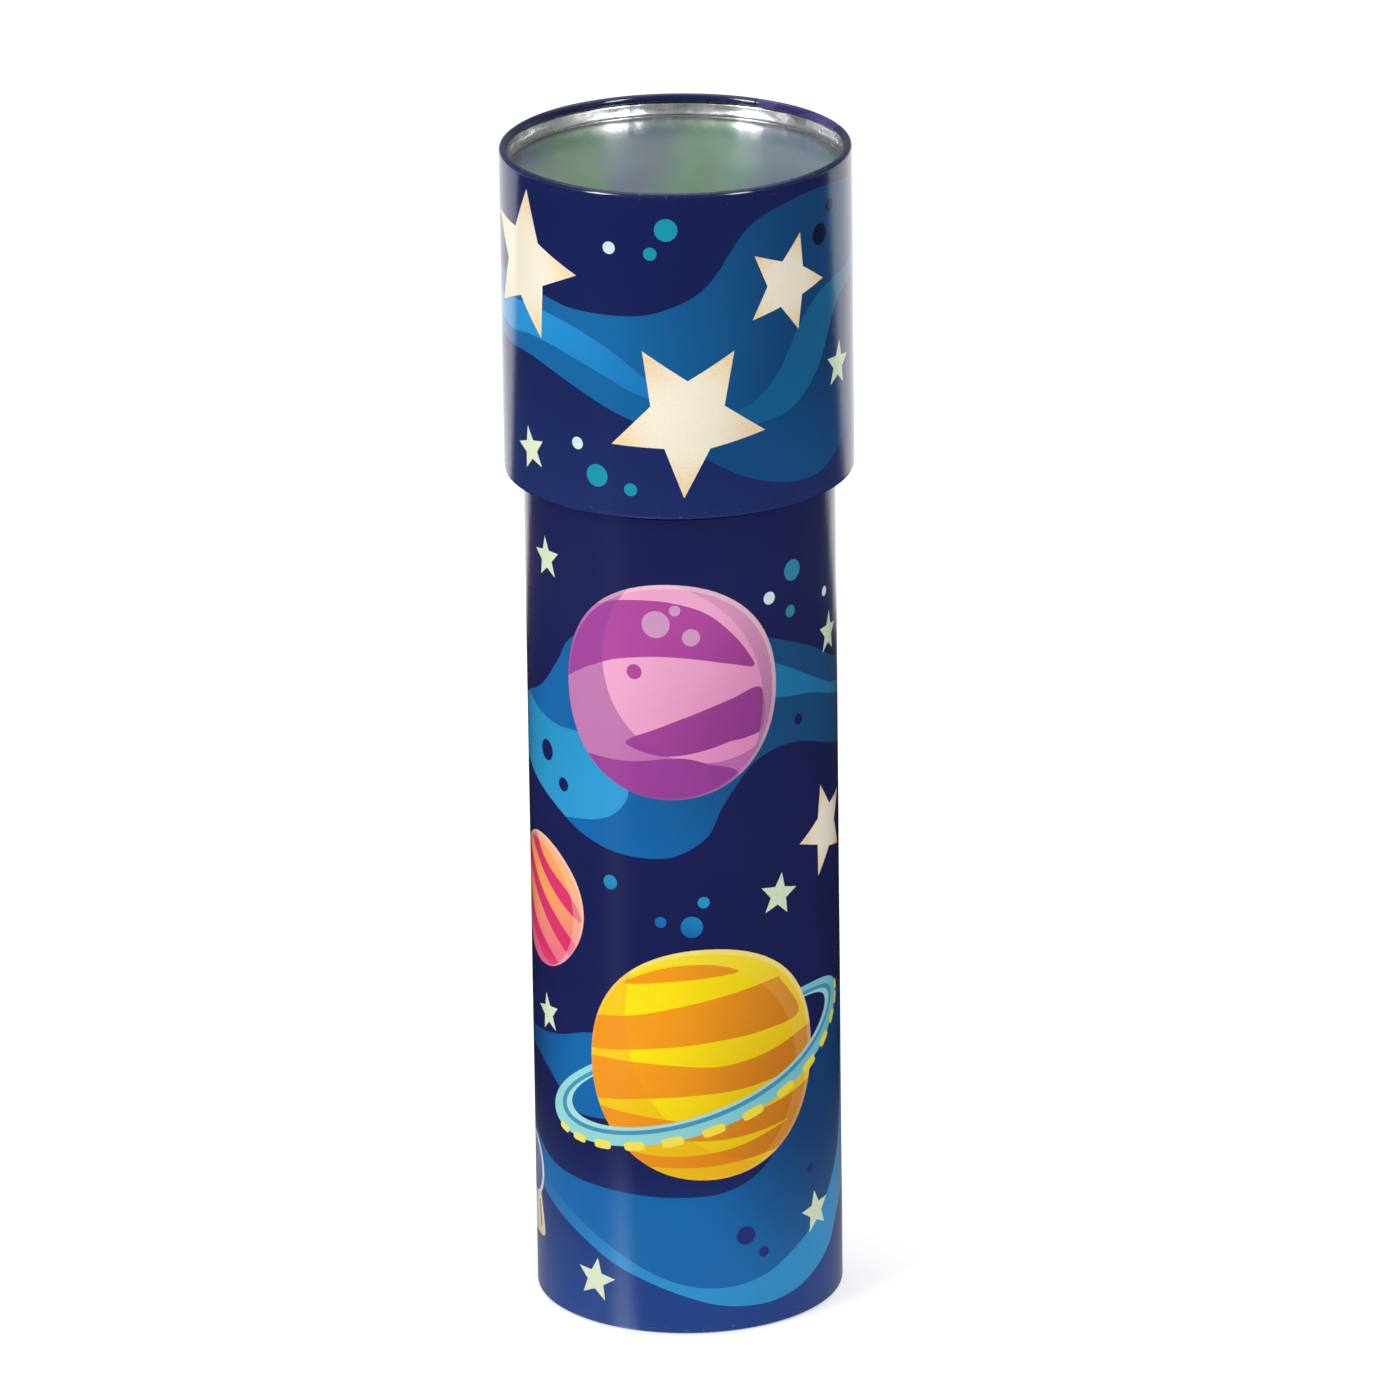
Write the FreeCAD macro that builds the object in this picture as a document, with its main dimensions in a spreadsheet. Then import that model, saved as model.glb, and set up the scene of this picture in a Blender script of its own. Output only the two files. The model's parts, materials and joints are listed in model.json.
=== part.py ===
"""Tin-plate kaleidoscope, as a parametric FreeCAD document.

It stands upright on its eyepiece end: origin at the centre of the base, +Z along the tube's axis.
The fixed part is a printed tin tube that holds three mirror strips in a card wrap, a peephole plate below
them and a clear window above them. A wider printed tin cap turns on the tube's upper end. It carries the
object cell: a spacer ring, a frosted window and the loose coloured bits between the two windows.
"""

import FreeCAD, Part
import math
import os
import re

import Sketcher

# Driving dimensions in millimetres, or degrees where the name says so. Levels are heights above the base.
DIMENSIONS = {
    # printed tin tube
    "tube_radius": 25.4,
    "tube_height": 186.0,
    "gauge": 0.3,
    "base_bend": 0.6,
    "base_flange_radius": 23.3,
    "groove_radius": 1.22,
    "groove_depth": 0.7,
    "tube_curl": 1.25,
    "tube_seam_bottom": 8.0,
    "tube_seam_top": 180.0,
    "tube_seam_stop": 2.0,
    "tube_seam_angle": 80.0,
    # printed tin cap
    "overall_height": 197.2,
    "cap_bottom": 142.5,
    "cap_radius": 28.52,
    "cap_bend": 0.9,
    "cap_hem_radius": 25.1,
    "cap_curl": 0.7,
    "cap_seam_bottom": 145.5,
    "cap_seam_top": 191.0,
    "cap_seam_angle": 58.0,
    "seam_width": 3.0,
    "seam_fold": 0.3,
    # how far the open ends of the two curls turn, from the horizontal through the curl's centre
    "tube_curl_end_angle": -120.0,
    "cap_curl_end_angle": -75.0,
    # eyepiece end
    "plate_radius": 24.75,
    "plate_top": 2.8,
    "plate_bend": 0.7,
    "peephole_radius": 5.0,
    "lip_bend": 0.5,
    "lip_top": 4.0,
    "eye_window_radius": 11.0,
    "eye_window_thick": 1.0,
    "card_radius": 24.6,
    "card_play": 0.1,
    "baffle_radius": 8.0,
    "baffle_thick": 1.2,
    # mirror set
    "mirror_width": 38.0,
    "mirror_thick": 1.5,
    "mirror_bottom": 6.3,
    "mirror_length": 176.0,
    "mirror_play": 0.05,
    "wrap_play": 0.15,
    "wrap_thick": 0.6,
    "wrap_corner_play": 0.1,
    "wrap_corner_thick": 0.35,
    "wrap_inset": 1.0,
    "spacer_radius": 24.7,
    "spacer_thick": 9.0,
    "rear_spacer_bottom": 12.0,
    "front_spacer_bottom": 166.0,
    "spacer_play": 0.12,
    # windows and the object cell
    "object_window_bottom": 182.4,
    "object_window_radius": 24.95,
    "object_window_thick": 1.0,
    "clip_wire": 0.5,
    "clip_radius": 24.55,
    "clip_turn_angle": 330.0,
    "ring_play": 0.2,
    "ring_inner_radius": 25.9,
    "ring_outer_radius": 27.75,
    "frosted_bottom": 192.3,
    "frosted_thick": 1.2,
    "frosted_radius": 27.95,
    "retainer_radius": 28.1,
    "retainer_gauge": 0.25,
    "retainer_height": 2.2,
    "retainer_foot": 1.0,
    # loose bits
    "bit_play": 0.1,
    "star_radius": 3.6,
    "star_waist": 1.7,
    "star_thick": 1.6,
    "bead_bit_radius": 2.35,
    "bead_bit_wire": 1.2,
    "gem_radius": 3.5,
    "gem_thick": 2.2,
    "gem_chamfer": 0.6,
    "moon_radius": 3.4,
    "moon_cut_radius": 2.9,
    "moon_cut_shift": 1.7,
    "moon_thick": 1.6,
    "inner_ring": 4.4,
    "middle_ring": 12.2,
    "outer_ring": 20.0,
}

MIRROR_COUNT = 3
FACE_STEP = 360 // MIRROR_COUNT
STAR_POINTS = 5
GEM_SIDES = 6
# Each ring of bits: its radius, and the kinds of bit in it, in order round the ring.
BIT_RINGS = {
    "inner_ring": ["star", "bead", "star"],
    "middle_ring": ["gem", "star", "bead", "moon"] * 2,
    "outer_ring": ["star", "gem", "bead", "star", "moon", "gem"] * 2 + ["bead"],
}
BIT_SPIN = 47  # degrees that each bit lies turned from the one before it

SHEET = "Dimensions"
EXPRESSION_WORDS = {"cos", "sin", "sqrt", "deg"}

document = FreeCAD.newDocument("Kaleidoscope")


def make_sheet():
    """The spreadsheet of driving dimensions, one alias to a row."""
    table = document.addObject("Spreadsheet::Sheet", SHEET)
    for row, (alias, number) in enumerate(DIMENSIONS.items(), start=1):
        table.set(f"A{row}", alias)
        table.set(f"B{row}", str(number))
        table.setAlias(f"B{row}", alias)
    document.recompute()
    return table


sheet = make_sheet()


def bound(formula):
    """The FreeCAD expression for a formula written with the sheet's aliases."""
    return re.sub(
        r"[a-z][a-z_]*",
        lambda word: word.group(0) if word.group(0) in EXPRESSION_WORDS else f"{SHEET}.{word.group(0)}",
        str(formula),
    )


def number(formula):
    """What a formula comes to now."""
    result = sheet.evalExpression(bound(formula))
    return float(getattr(result, "Value", result))


# ---------------------------------------------------------------- sketching helpers


def new_body(label):
    body = document.addObject("PartDesign::Body", label)
    body.Label = label
    return body


def new_sketch(body, name, plane, lift="0"):
    """A sketch on one of the body's own origin planes, lifted off it by a formula."""
    sketch = body.newObject("Sketcher::SketchObject", f"{body.Label}_{name}")
    support = next(item for item in body.Origin.OriginFeatures if item.Role == plane)
    sketch.AttachmentSupport = (support, [""])
    sketch.MapMode = "FlatFace"
    if lift != "0":
        sketch.setExpression(".AttachmentOffset.Base.z", bound(lift))
    return sketch


def pin_point(sketch, edge, end, x, y):
    """Ties one end of an edge to its coordinates."""
    for kind, formula in (("DistanceX", x), ("DistanceY", y)):
        index = sketch.addConstraint(Sketcher.Constraint(kind, -1, 1, edge, end, number(formula)))
        sketch.setExpression(f"Constraints[{index}]", bound(formula))


def draw_loop(sketch, corners):
    """A closed outline. A straight edge leaves a corner (x, y). An arc leaves a corner
    (x, y, (centre_x, centre_y, radius, turn)), where turn is 1 for anticlockwise and -1 for clockwise.
    Every number but turn is a formula."""
    first = sketch.GeometryCount
    starts = []  # which end of each edge is its start: 1, or 2 on a clockwise arc, which is stored reversed
    for corner, following in zip(corners, corners[1:] + corners[:1]):
        x0, y0 = number(corner[0]), number(corner[1])
        x1, y1 = number(following[0]), number(following[1])
        if len(corner) == 2:
            sketch.addGeometry(Part.LineSegment(FreeCAD.Vector(x0, y0, 0), FreeCAD.Vector(x1, y1, 0)), False)
            starts.append(1)
            continue
        cx, cy, radius = (number(formula) for formula in corner[2][:3])
        turn = corner[2][3]
        leave = math.atan2(y0 - cy, x0 - cx)
        arrive = math.atan2(y1 - cy, x1 - cx)
        low, high = (leave, arrive) if turn > 0 else (arrive, leave)
        if high <= low:
            high += 2 * math.pi
        circle = Part.Circle(FreeCAD.Vector(cx, cy, 0), FreeCAD.Vector(0, 0, 1), radius)
        sketch.addGeometry(Part.ArcOfCircle(circle, low, high), False)
        starts.append(1 if turn > 0 else 2)
    for step, corner in enumerate(corners):
        edge, start = first + step, starts[step]
        before = (step - 1) % len(corners)
        last_end = 3 - starts[before]
        sketch.addConstraint(Sketcher.Constraint("Coincident", first + before, last_end, edge, start))
        pin_point(sketch, edge, start, corner[0], corner[1])
        if len(corner) == 3:
            index = sketch.addConstraint(Sketcher.Constraint("Radius", edge, number(corner[2][2])))
            sketch.setExpression(f"Constraints[{index}]", bound(corner[2][2]))


def draw_circle(sketch, radius, x="0", y="0"):
    centre = FreeCAD.Vector(number(x), number(y), 0)
    edge = sketch.addGeometry(Part.Circle(centre, FreeCAD.Vector(0, 0, 1), number(radius)), False)
    pin_point(sketch, edge, 3, x, y)
    index = sketch.addConstraint(Sketcher.Constraint("Radius", edge, number(radius)))
    sketch.setExpression(f"Constraints[{index}]", bound(radius))


def revolve_sketch(body, sketch, turn="360"):
    """Turns a section drawn as (radius, height) about the body's Z axis."""
    feature = body.newObject("PartDesign::Revolution", f"{body.Label}_turned")
    feature.Profile = sketch
    feature.ReferenceAxis = (sketch, ["V_Axis"])
    feature.setExpression("Angle", bound(turn))


def revolve(body, corners):
    sketch = new_sketch(body, "section", "XZ_Plane")
    draw_loop(sketch, corners)
    revolve_sketch(body, sketch)


def revolve_wire(body, wire_radius, ring_radius, level, turn="360"):
    """A ring of round section."""
    sketch = new_sketch(body, "section", "XZ_Plane")
    draw_circle(sketch, wire_radius, ring_radius, level)
    revolve_sketch(body, sketch, turn)


def pad(body, sketch, thickness):
    feature = body.newObject("PartDesign::Pad", f"{sketch.Label}_pad")
    feature.Profile = sketch
    feature.setExpression("Length", bound(thickness))
    return feature


def block(low_radius, high_radius, bottom, top):
    """The outline of a plain ring or disc section."""
    return [(low_radius, bottom), (high_radius, bottom), (high_radius, top), (low_radius, top)]


def polar(radius, angle):
    """The x and y formulas of a point at a radius and a plain angle in degrees."""
    return f"({radius}) * cos({angle} deg)", f"({radius}) * sin({angle} deg)"


def around(centre_x, centre_y, radius, angle_alias):
    """The x and y formulas of a point on a circle, at an angle kept in the sheet."""
    turned = f"{angle_alias} * 1 deg"
    return f"{centre_x} + ({radius}) * cos({turned})", f"{centre_y} + ({radius}) * sin({turned})"


def place(body, x=0.0, y=0.0, z=0.0, angle=0.0):
    body.Placement = FreeCAD.Placement(
        FreeCAD.Vector(x, y, z),
        FreeCAD.Rotation(FreeCAD.Vector(0, 0, 1), angle),
    )


# ---------------------------------------------------------------- tin tube and cap


def add_seam(body, name, wall_radius, bottom, top):
    """The lock seam of a rolled tin wall: a flat fold on the inside, sunk into the wall's thickness."""
    sketch = new_sketch(body, name, "XY_Plane", bottom)
    inside = f"{wall_radius} - gauge - seam_fold"
    outside = f"{wall_radius} - gauge * 0.5"
    half = "seam_width / 2"
    draw_loop(sketch, [(inside, f"-{half}"), (outside, f"-{half}"), (outside, half), (inside, half)])
    pad(body, sketch, f"{top} - ({bottom})")


def make_body_tube():
    """Rolled tin wall: turned-in base flange, rolled groove that the cap's hem runs in, outward curl on top."""
    body = new_body("body_tube")
    bend_centre = ("tube_radius - base_bend", "base_bend")
    inner = "tube_radius - gauge"
    groove_level = "(cap_bottom + gauge / 2)"
    groove_centre = ("tube_radius - groove_depth + groove_radius", groove_level)
    groove_half = "sqrt(groove_radius ^ 2 - (groove_radius - groove_depth) ^ 2)"
    groove_inner = "groove_radius + gauge"
    groove_inner_half = "sqrt((groove_radius + gauge) ^ 2 - (groove_radius - groove_depth + gauge) ^ 2)"
    curl_centre = ("tube_radius - gauge + tube_curl", "tube_height - tube_curl")
    curl_inner = "tube_curl - gauge"
    inner_end = around(*curl_centre, curl_inner, "tube_curl_end_angle")
    outer_end = around(*curl_centre, "tube_curl", "tube_curl_end_angle")
    revolve(
        body,
        [
            ("base_flange_radius", "0"),
            ("tube_radius - base_bend", "0", (*bend_centre, "base_bend", 1)),
            ("tube_radius", "base_bend"),
            ("tube_radius", f"{groove_level} - {groove_half}", (*groove_centre, "groove_radius", -1)),
            ("tube_radius", f"{groove_level} + {groove_half}"),
            ("tube_radius", "tube_height - tube_curl", (*curl_centre, curl_inner, -1)),
            inner_end,
            (*outer_end, (*curl_centre, "tube_curl", 1)),
            (inner, "tube_height - tube_curl"),
            (inner, f"{groove_level} + {groove_inner_half}", (*groove_centre, groove_inner, 1)),
            (inner, f"{groove_level} - {groove_inner_half}"),
            (inner, "base_bend", (*bend_centre, "base_bend - gauge", -1)),
            ("tube_radius - base_bend", "gauge"),
            ("base_flange_radius", "gauge"),
        ],
    )
    add_seam(body, "lower_seam", "tube_radius", "tube_seam_bottom", f"{groove_level} - tube_seam_stop")
    add_seam(body, "upper_seam", "tube_radius", f"{groove_level} + tube_seam_stop", "tube_seam_top")
    place(body, angle=number("tube_seam_angle"))


def make_cap_shell():
    """Rolled tin cap: turned-in hem that runs on the tube, and inward curl round the open top."""
    body = new_body("cap_shell")
    bend_centre = ("cap_radius - cap_bend", "cap_bottom + cap_bend")
    curl_centre = ("cap_radius - cap_curl", "overall_height - cap_curl")
    curl_inner = "cap_curl - gauge"
    outer_end = around(*curl_centre, "cap_curl", "cap_curl_end_angle")
    inner_end = around(*curl_centre, curl_inner, "cap_curl_end_angle")
    inner = "cap_radius - gauge"
    revolve(
        body,
        [
            ("cap_hem_radius", "cap_bottom"),
            ("cap_radius - cap_bend", "cap_bottom", (*bend_centre, "cap_bend", 1)),
            ("cap_radius", "cap_bottom + cap_bend"),
            ("cap_radius", "overall_height - cap_curl", (*curl_centre, "cap_curl", 1)),
            outer_end,
            (*inner_end, (*curl_centre, curl_inner, -1)),
            (inner, "overall_height - cap_curl"),
            (inner, "cap_bottom + cap_bend", (*bend_centre, "cap_bend - gauge", -1)),
            ("cap_radius - cap_bend", "cap_bottom + gauge"),
            ("cap_hem_radius", "cap_bottom + gauge"),
        ],
    )
    add_seam(body, "seam", "cap_radius", "cap_seam_bottom", "cap_seam_top")
    place(body, angle=number("cap_seam_angle"))


# ---------------------------------------------------------------- eyepiece end


def make_eyepiece():
    """Pressed tin plate with a lipped peephole, its small window, and the two cards that hold the window."""
    plate = new_body("eyepiece_plate")
    bend_centre = ("plate_radius - plate_bend", "plate_top - plate_bend")
    lip_outer = "peephole_radius + gauge"
    lip_root = "peephole_radius + gauge + lip_bend"
    lip_centre = (lip_root, "plate_top + lip_bend")
    revolve(
        plate,
        [
            ("plate_radius - gauge", "gauge"),
            ("plate_radius", "gauge"),
            ("plate_radius", "plate_top - plate_bend", (*bend_centre, "plate_bend", 1)),
            ("plate_radius - plate_bend", "plate_top"),
            (lip_root, "plate_top", (*lip_centre, "lip_bend", -1)),
            (lip_outer, "plate_top + lip_bend"),
            (lip_outer, "lip_top"),
            ("peephole_radius", "lip_top"),
            ("peephole_radius", "plate_top + lip_bend", (*lip_centre, "lip_bend + gauge", 1)),
            (lip_root, "plate_top - gauge"),
            ("plate_radius - plate_bend", "plate_top - gauge", (*bend_centre, "plate_bend - gauge", -1)),
            ("plate_radius - gauge", "plate_top - plate_bend"),
        ],
    )
    window_top = "lip_top + eye_window_thick"
    revolve(new_body("eye_window"), block("0", "eye_window_radius", "lip_top", window_top))
    seat = block("eye_window_radius + card_play", "card_radius", "plate_top", window_top)
    revolve(new_body("eye_window_card"), seat)
    baffle = block("baffle_radius", "card_radius", window_top, f"{window_top} + baffle_thick")
    revolve(new_body("eye_baffle"), baffle)


# ---------------------------------------------------------------- mirror set


def three_sided(half_width, distance):
    """The outline round three strips whose outer faces lie at a distance from the axis: six corners."""
    corners = []
    for step in range(MIRROR_COUNT):
        angle = step * FACE_STEP
        for side in (f"({half_width})", f"(-({half_width}))"):
            corners.append(
                (
                    f"{side} * cos({angle} deg) - ({distance}) * sin({angle} deg)",
                    f"{side} * sin({angle} deg) + ({distance}) * cos({angle} deg)",
                )
            )
    return corners


def make_mirrors():
    """Three equal strips, mirror faces inward, whose inner edges meet in an equilateral triangle."""
    inner_face = "mirror_width / (2 * sqrt(3)) + mirror_play"
    outer_face = f"{inner_face} + mirror_thick"
    half = "mirror_width / 2"
    section = [(f"-{half}", inner_face), (half, inner_face), (half, outer_face), (f"-{half}", outer_face)]
    for step in range(MIRROR_COUNT):
        body = new_body(f"mirror_strip_{step + 1}")
        sketch = new_sketch(body, "strip", "XY_Plane", "mirror_bottom")
        draw_loop(sketch, section)
        pad(body, sketch, "mirror_length")
        place(body, angle=step * FACE_STEP)

    wrap_inside = three_sided(f"{half} + wrap_corner_play", f"{outer_face} + wrap_play")
    wrap_half = f"{half} + wrap_corner_play + wrap_corner_thick"
    wrap_face = f"{outer_face} + wrap_play + wrap_thick"
    wrap = new_body("mirror_wrap")
    sketch = new_sketch(wrap, "outline", "XY_Plane", "mirror_bottom + wrap_inset")
    draw_loop(sketch, three_sided(wrap_half, wrap_face))
    draw_loop(sketch, wrap_inside)
    pad(wrap, sketch, "mirror_length - 2 * wrap_inset")

    for name, bottom in (("rear_spacer", "rear_spacer_bottom"), ("front_spacer", "front_spacer_bottom")):
        body = new_body(name)
        sketch = new_sketch(body, "outline", "XY_Plane", bottom)
        draw_circle(sketch, "spacer_radius")
        draw_loop(sketch, three_sided(f"{wrap_half} + spacer_play", f"{wrap_face} + spacer_play"))
        pad(body, sketch, "spacer_thick")


# ---------------------------------------------------------------- object cell


def make_object_cell():
    """Clear window and spring clip in the tube's mouth. Spacer ring, frosted window and retainer in the cap."""
    clear_top = "object_window_bottom + object_window_thick"
    revolve(new_body("object_window"), block("0", "object_window_radius", "object_window_bottom", clear_top))

    clip = new_body("object_window_clip")
    revolve_wire(clip, "clip_wire", "clip_radius", f"{clear_top} + clip_wire", "clip_turn_angle")

    spacer = block("ring_inner_radius", "ring_outer_radius", "tube_height + ring_play", "frosted_bottom")
    revolve(new_body("cell_ring"), spacer)
    frosted_top = "frosted_bottom + frosted_thick"
    revolve(new_body("frosted_window"), block("0", "frosted_radius", "frosted_bottom", frosted_top))
    wall = "retainer_radius - retainer_gauge"
    foot = "retainer_radius - retainer_foot"
    revolve(
        new_body("window_retainer"),
        [
            (foot, frosted_top),
            ("retainer_radius", frosted_top),
            ("retainer_radius", f"{frosted_top} + retainer_height"),
            (wall, f"{frosted_top} + retainer_height"),
            (wall, f"{frosted_top} + retainer_gauge"),
            (foot, f"{frosted_top} + retainer_gauge"),
        ],
    )


# ---------------------------------------------------------------- loose bits


def star_bit(body):
    """Flat five-pointed star."""
    sketch = new_sketch(body, "outline", "XY_Plane")
    step = 180 // STAR_POINTS
    radii = ["star_radius", "star_waist"] * STAR_POINTS
    draw_loop(sketch, [polar(radius, index * step) for index, radius in enumerate(radii)])
    pad(body, sketch, "star_thick")


def bead_bit(body):
    """Ring bead lying flat."""
    revolve_wire(body, "bead_bit_wire", "bead_bit_radius", "bead_bit_wire")


def gem_bit(body):
    """Six-sided gem with chamfered faces."""
    sketch = new_sketch(body, "outline", "XY_Plane")
    step = 360 // GEM_SIDES
    draw_loop(sketch, [polar("gem_radius", index * step) for index in range(GEM_SIDES)])
    slab = pad(body, sketch, "gem_thick")
    document.recompute()
    flat_faces = []
    for index, face in enumerate(slab.Shape.Faces, start=1):
        if abs(abs(face.normalAt(0, 0).z) - 1) < 1e-6:
            flat_faces.append(f"Face{index}")
    chamfer = body.newObject("PartDesign::Chamfer", f"{body.Label}_chamfer")
    chamfer.Base = (slab, flat_faces)
    chamfer.setExpression("Size", bound("gem_chamfer"))


def moon_bit(body):
    """Flat crescent: a round disc less a smaller circle cut into its side."""
    sketch = new_sketch(body, "disc", "XY_Plane")
    draw_circle(sketch, "moon_radius")
    disc = pad(body, sketch, "moon_thick")
    document.recompute()
    whole = disc.Shape.Volume
    bite = new_sketch(body, "bite", "XY_Plane")
    draw_circle(bite, "moon_cut_radius", "moon_cut_shift")
    pocket = body.newObject("PartDesign::Pocket", f"{body.Label}_bite_pocket")
    pocket.Profile = bite
    pocket.Type = "ThroughAll"
    pocket.Midplane = True
    document.recompute()
    if pocket.Shape.Volume > 0.9 * whole:
        raise RuntimeError(f"{body.Label}: the bite cut nothing")


BIT_MAKERS = {"star": star_bit, "bead": bead_bit, "gem": gem_bit, "moon": moon_bit}


def make_bits():
    """The loose bits, in three rings on the clear window. No bit reaches outside its own ring's track."""
    counts = dict.fromkeys(BIT_MAKERS, 0)
    floor = number("object_window_bottom + object_window_thick + bit_play")
    turned = 0
    for ring, kinds in BIT_RINGS.items():
        radius = number(ring)
        for index, kind in enumerate(kinds):
            counts[kind] += 1
            body = new_body(f"{kind}_bit_{counts[kind]}")
            BIT_MAKERS[kind](body)
            angle = 2 * math.pi * index / len(kinds)
            turned += BIT_SPIN
            place(body, radius * math.cos(angle), radius * math.sin(angle), floor, turned % 360)


# ---------------------------------------------------------------- build, check and write


def check_document():
    """Stops on any object that failed, and returns the sub-parts."""
    document.recompute()
    for item in document.Objects:
        if "Invalid" in item.State or "Error" in item.State:
            raise RuntimeError(f"{item.Label}: {item.State}")
        if item.isDerivedFrom("Sketcher::SketchObject") and not item.FullyConstrained:
            raise RuntimeError(f"{item.Label}: the sketch isn't fully constrained")
    bodies = [item for item in document.Objects if item.isDerivedFrom("PartDesign::Body")]
    for body in bodies:
        if body.Shape.isNull() or not body.Shape.isValid() or len(body.Shape.Solids) != 1:
            raise RuntimeError(f"{body.Label}: bad shape with {len(body.Shape.Solids)} solids")
    return bodies


def main():
    make_body_tube()
    make_cap_shell()
    make_eyepiece()
    make_mirrors()
    make_object_cell()
    make_bits()
    bodies = check_document()
    os.makedirs("parts", exist_ok=True)
    for body in bodies:
        body.Shape.exportStep(os.path.join("parts", f"{body.Label}.step"))
    print(f"{len(bodies)} sub-parts written")


main()
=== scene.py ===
import json
import math

import bmesh
import bpy
from mathutils import Matrix, Vector, noise
from mathutils.geometry import delaunay_2d_cdt


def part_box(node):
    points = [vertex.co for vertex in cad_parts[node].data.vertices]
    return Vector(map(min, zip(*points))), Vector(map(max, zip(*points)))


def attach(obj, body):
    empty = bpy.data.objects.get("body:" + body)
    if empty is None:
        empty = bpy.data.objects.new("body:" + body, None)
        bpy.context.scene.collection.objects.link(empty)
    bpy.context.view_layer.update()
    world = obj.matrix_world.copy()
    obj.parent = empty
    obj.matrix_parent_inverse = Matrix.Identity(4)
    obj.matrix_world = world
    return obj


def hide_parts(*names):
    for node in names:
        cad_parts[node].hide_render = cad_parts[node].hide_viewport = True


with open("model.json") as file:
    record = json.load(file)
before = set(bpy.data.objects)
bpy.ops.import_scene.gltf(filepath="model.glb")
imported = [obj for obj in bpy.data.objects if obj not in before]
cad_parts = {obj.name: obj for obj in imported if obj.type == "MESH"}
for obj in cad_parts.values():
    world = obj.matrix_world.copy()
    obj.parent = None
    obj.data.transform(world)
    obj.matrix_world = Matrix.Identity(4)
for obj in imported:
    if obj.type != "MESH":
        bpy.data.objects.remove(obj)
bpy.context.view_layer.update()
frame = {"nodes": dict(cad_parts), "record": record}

# Lengths are millimetres and angles are degrees until a mesh is built. The set and its lights are in metres.
# The picture on the tin is laid out flat: u runs round the wall from the front to the right, and level is
# the height above the base.
MM = 0.001
GRIP = next(mount for mount in frame["record"]["mounts"] if mount["name"] == "body_grip")
TUBE_RADIUS = GRIP["dims"]["r_mm"]
TUBE_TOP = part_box("body_tube")[1].z / MM
CAP_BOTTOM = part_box("cap_shell")[0].z / MM
CAP_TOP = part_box("cap_shell")[1].z / MM
CAP_RADIUS = 28.52
GAUGE = 0.3

# ================================================================ camera, floor and light

CAMERA_DISTANCE = 1964.0
CAMERA_ELEVATION = 19.63
CAMERA_ROLL = -0.737
CAMERA_LENS = 308.0
# how far right of and above the object's middle the camera looks
AIM_RIGHT = 2.85
AIM_UP = 3.05

# azimuth and elevation, then distance, width and height in metres, then power in watts
SOFTBOXES = {
    "key_left": (-52, 27, 2.0, 0.75, 1.2, 19),
    "fill_right": (44, 24, 2.0, 0.65, 1.0, 5.5),
    "top": (180, 72, 1.8, 2.0, 1.4, 14),
    "sparkle_left": (-53, 28, 1.9, 0.42, 1.1, 33),
    "sparkle_right": (43, 28, 1.9, 0.42, 1.1, 24),
}
WORLD_LIGHT = 0.26
FLOOR_HALF = 9.0
FLOOR_LEVEL = -0.05 * MM
# the reflection card: its level, how far it reaches, its inner edge, and its rings and columns
CARD_LEVEL = -2 * MM
CARD_REACH = 3.0
CARD_START = 0.01
CARD_ROWS = 60
CARD_COLUMNS = 120
# how bright the parts of the mirrored set are, where they are, and over what length they fade
TABLE_LIGHT = 0.012
SWEEP_LIGHT, SWEEP_EDGE, SWEEP_LEAN, SWEEP_FADE = 1.15, 0.315, 0.06, 0.05
PAPER_LIGHT, PAPER_EDGE, PAPER_FADE = 0.30, 0.12, 0.10
LAMP_LIGHT, LAMP_AZIMUTH, LAMP_HALF_ANGLE, LAMP_END, LAMP_FADE = 0.22, -50, 16, 0.62, 0.4
IMAGE_LIGHT, IMAGE_REACH, IMAGE_HALF_WIDTH, IMAGE_SPREAD = 2.2, 0.085, 0.004, 0.2
IMAGE_START, IMAGE_WAY = Vector((-0.0111, -0.0228)), Vector((-0.788, -0.616))
HAZE_LIGHT, HAZE_DISTANCE, HAZE_FADE = 0.06, 0.40, 0.07


def make_camera():
    elevation = math.radians(CAMERA_ELEVATION)
    middle = Vector((0, 0, CAP_TOP / 2))
    back = Vector((0, -math.cos(elevation), math.sin(elevation)))
    right = Vector((1, 0, 0))
    eye = middle + back * CAMERA_DISTANCE
    target = middle + right * AIM_RIGHT + back.cross(right) * AIM_UP
    turn = (eye - target).to_track_quat("Z", "Y").to_matrix()
    roll = Matrix.Rotation(math.radians(CAMERA_ROLL), 3, "Z")
    data = bpy.data.cameras.new("camera")
    data.lens = CAMERA_LENS
    data.sensor_width = 36.0
    data.clip_start = 0.05
    data.clip_end = 50.0
    camera = bpy.data.objects.new("camera", data)
    camera.matrix_world = Matrix.Translation(eye * MM) @ (turn @ roll).to_4x4()
    bpy.context.scene.collection.objects.link(camera)
    bpy.context.scene.camera = camera


def make_softbox(name, azimuth, elevation, distance, width, height, power):
    """A rectangular light that looks at the object. azimuth is from the front, to the right."""
    middle = Vector((0, 0, 0.1))
    around, up = math.radians(azimuth), math.radians(elevation)
    away = Vector((math.sin(around) * math.cos(up), -math.cos(around) * math.cos(up), math.sin(up)))
    facing = away.to_track_quat("Z", "Y").to_matrix().to_4x4()
    data = bpy.data.lights.new(name, "AREA")
    data.shape = "RECTANGLE"
    data.size = width
    data.size_y = height
    data.energy = power
    light = bpy.data.objects.new(name, data)
    light.matrix_world = Matrix.Translation(middle + away * distance) @ facing
    bpy.context.scene.collection.objects.link(light)
    return light


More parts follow.
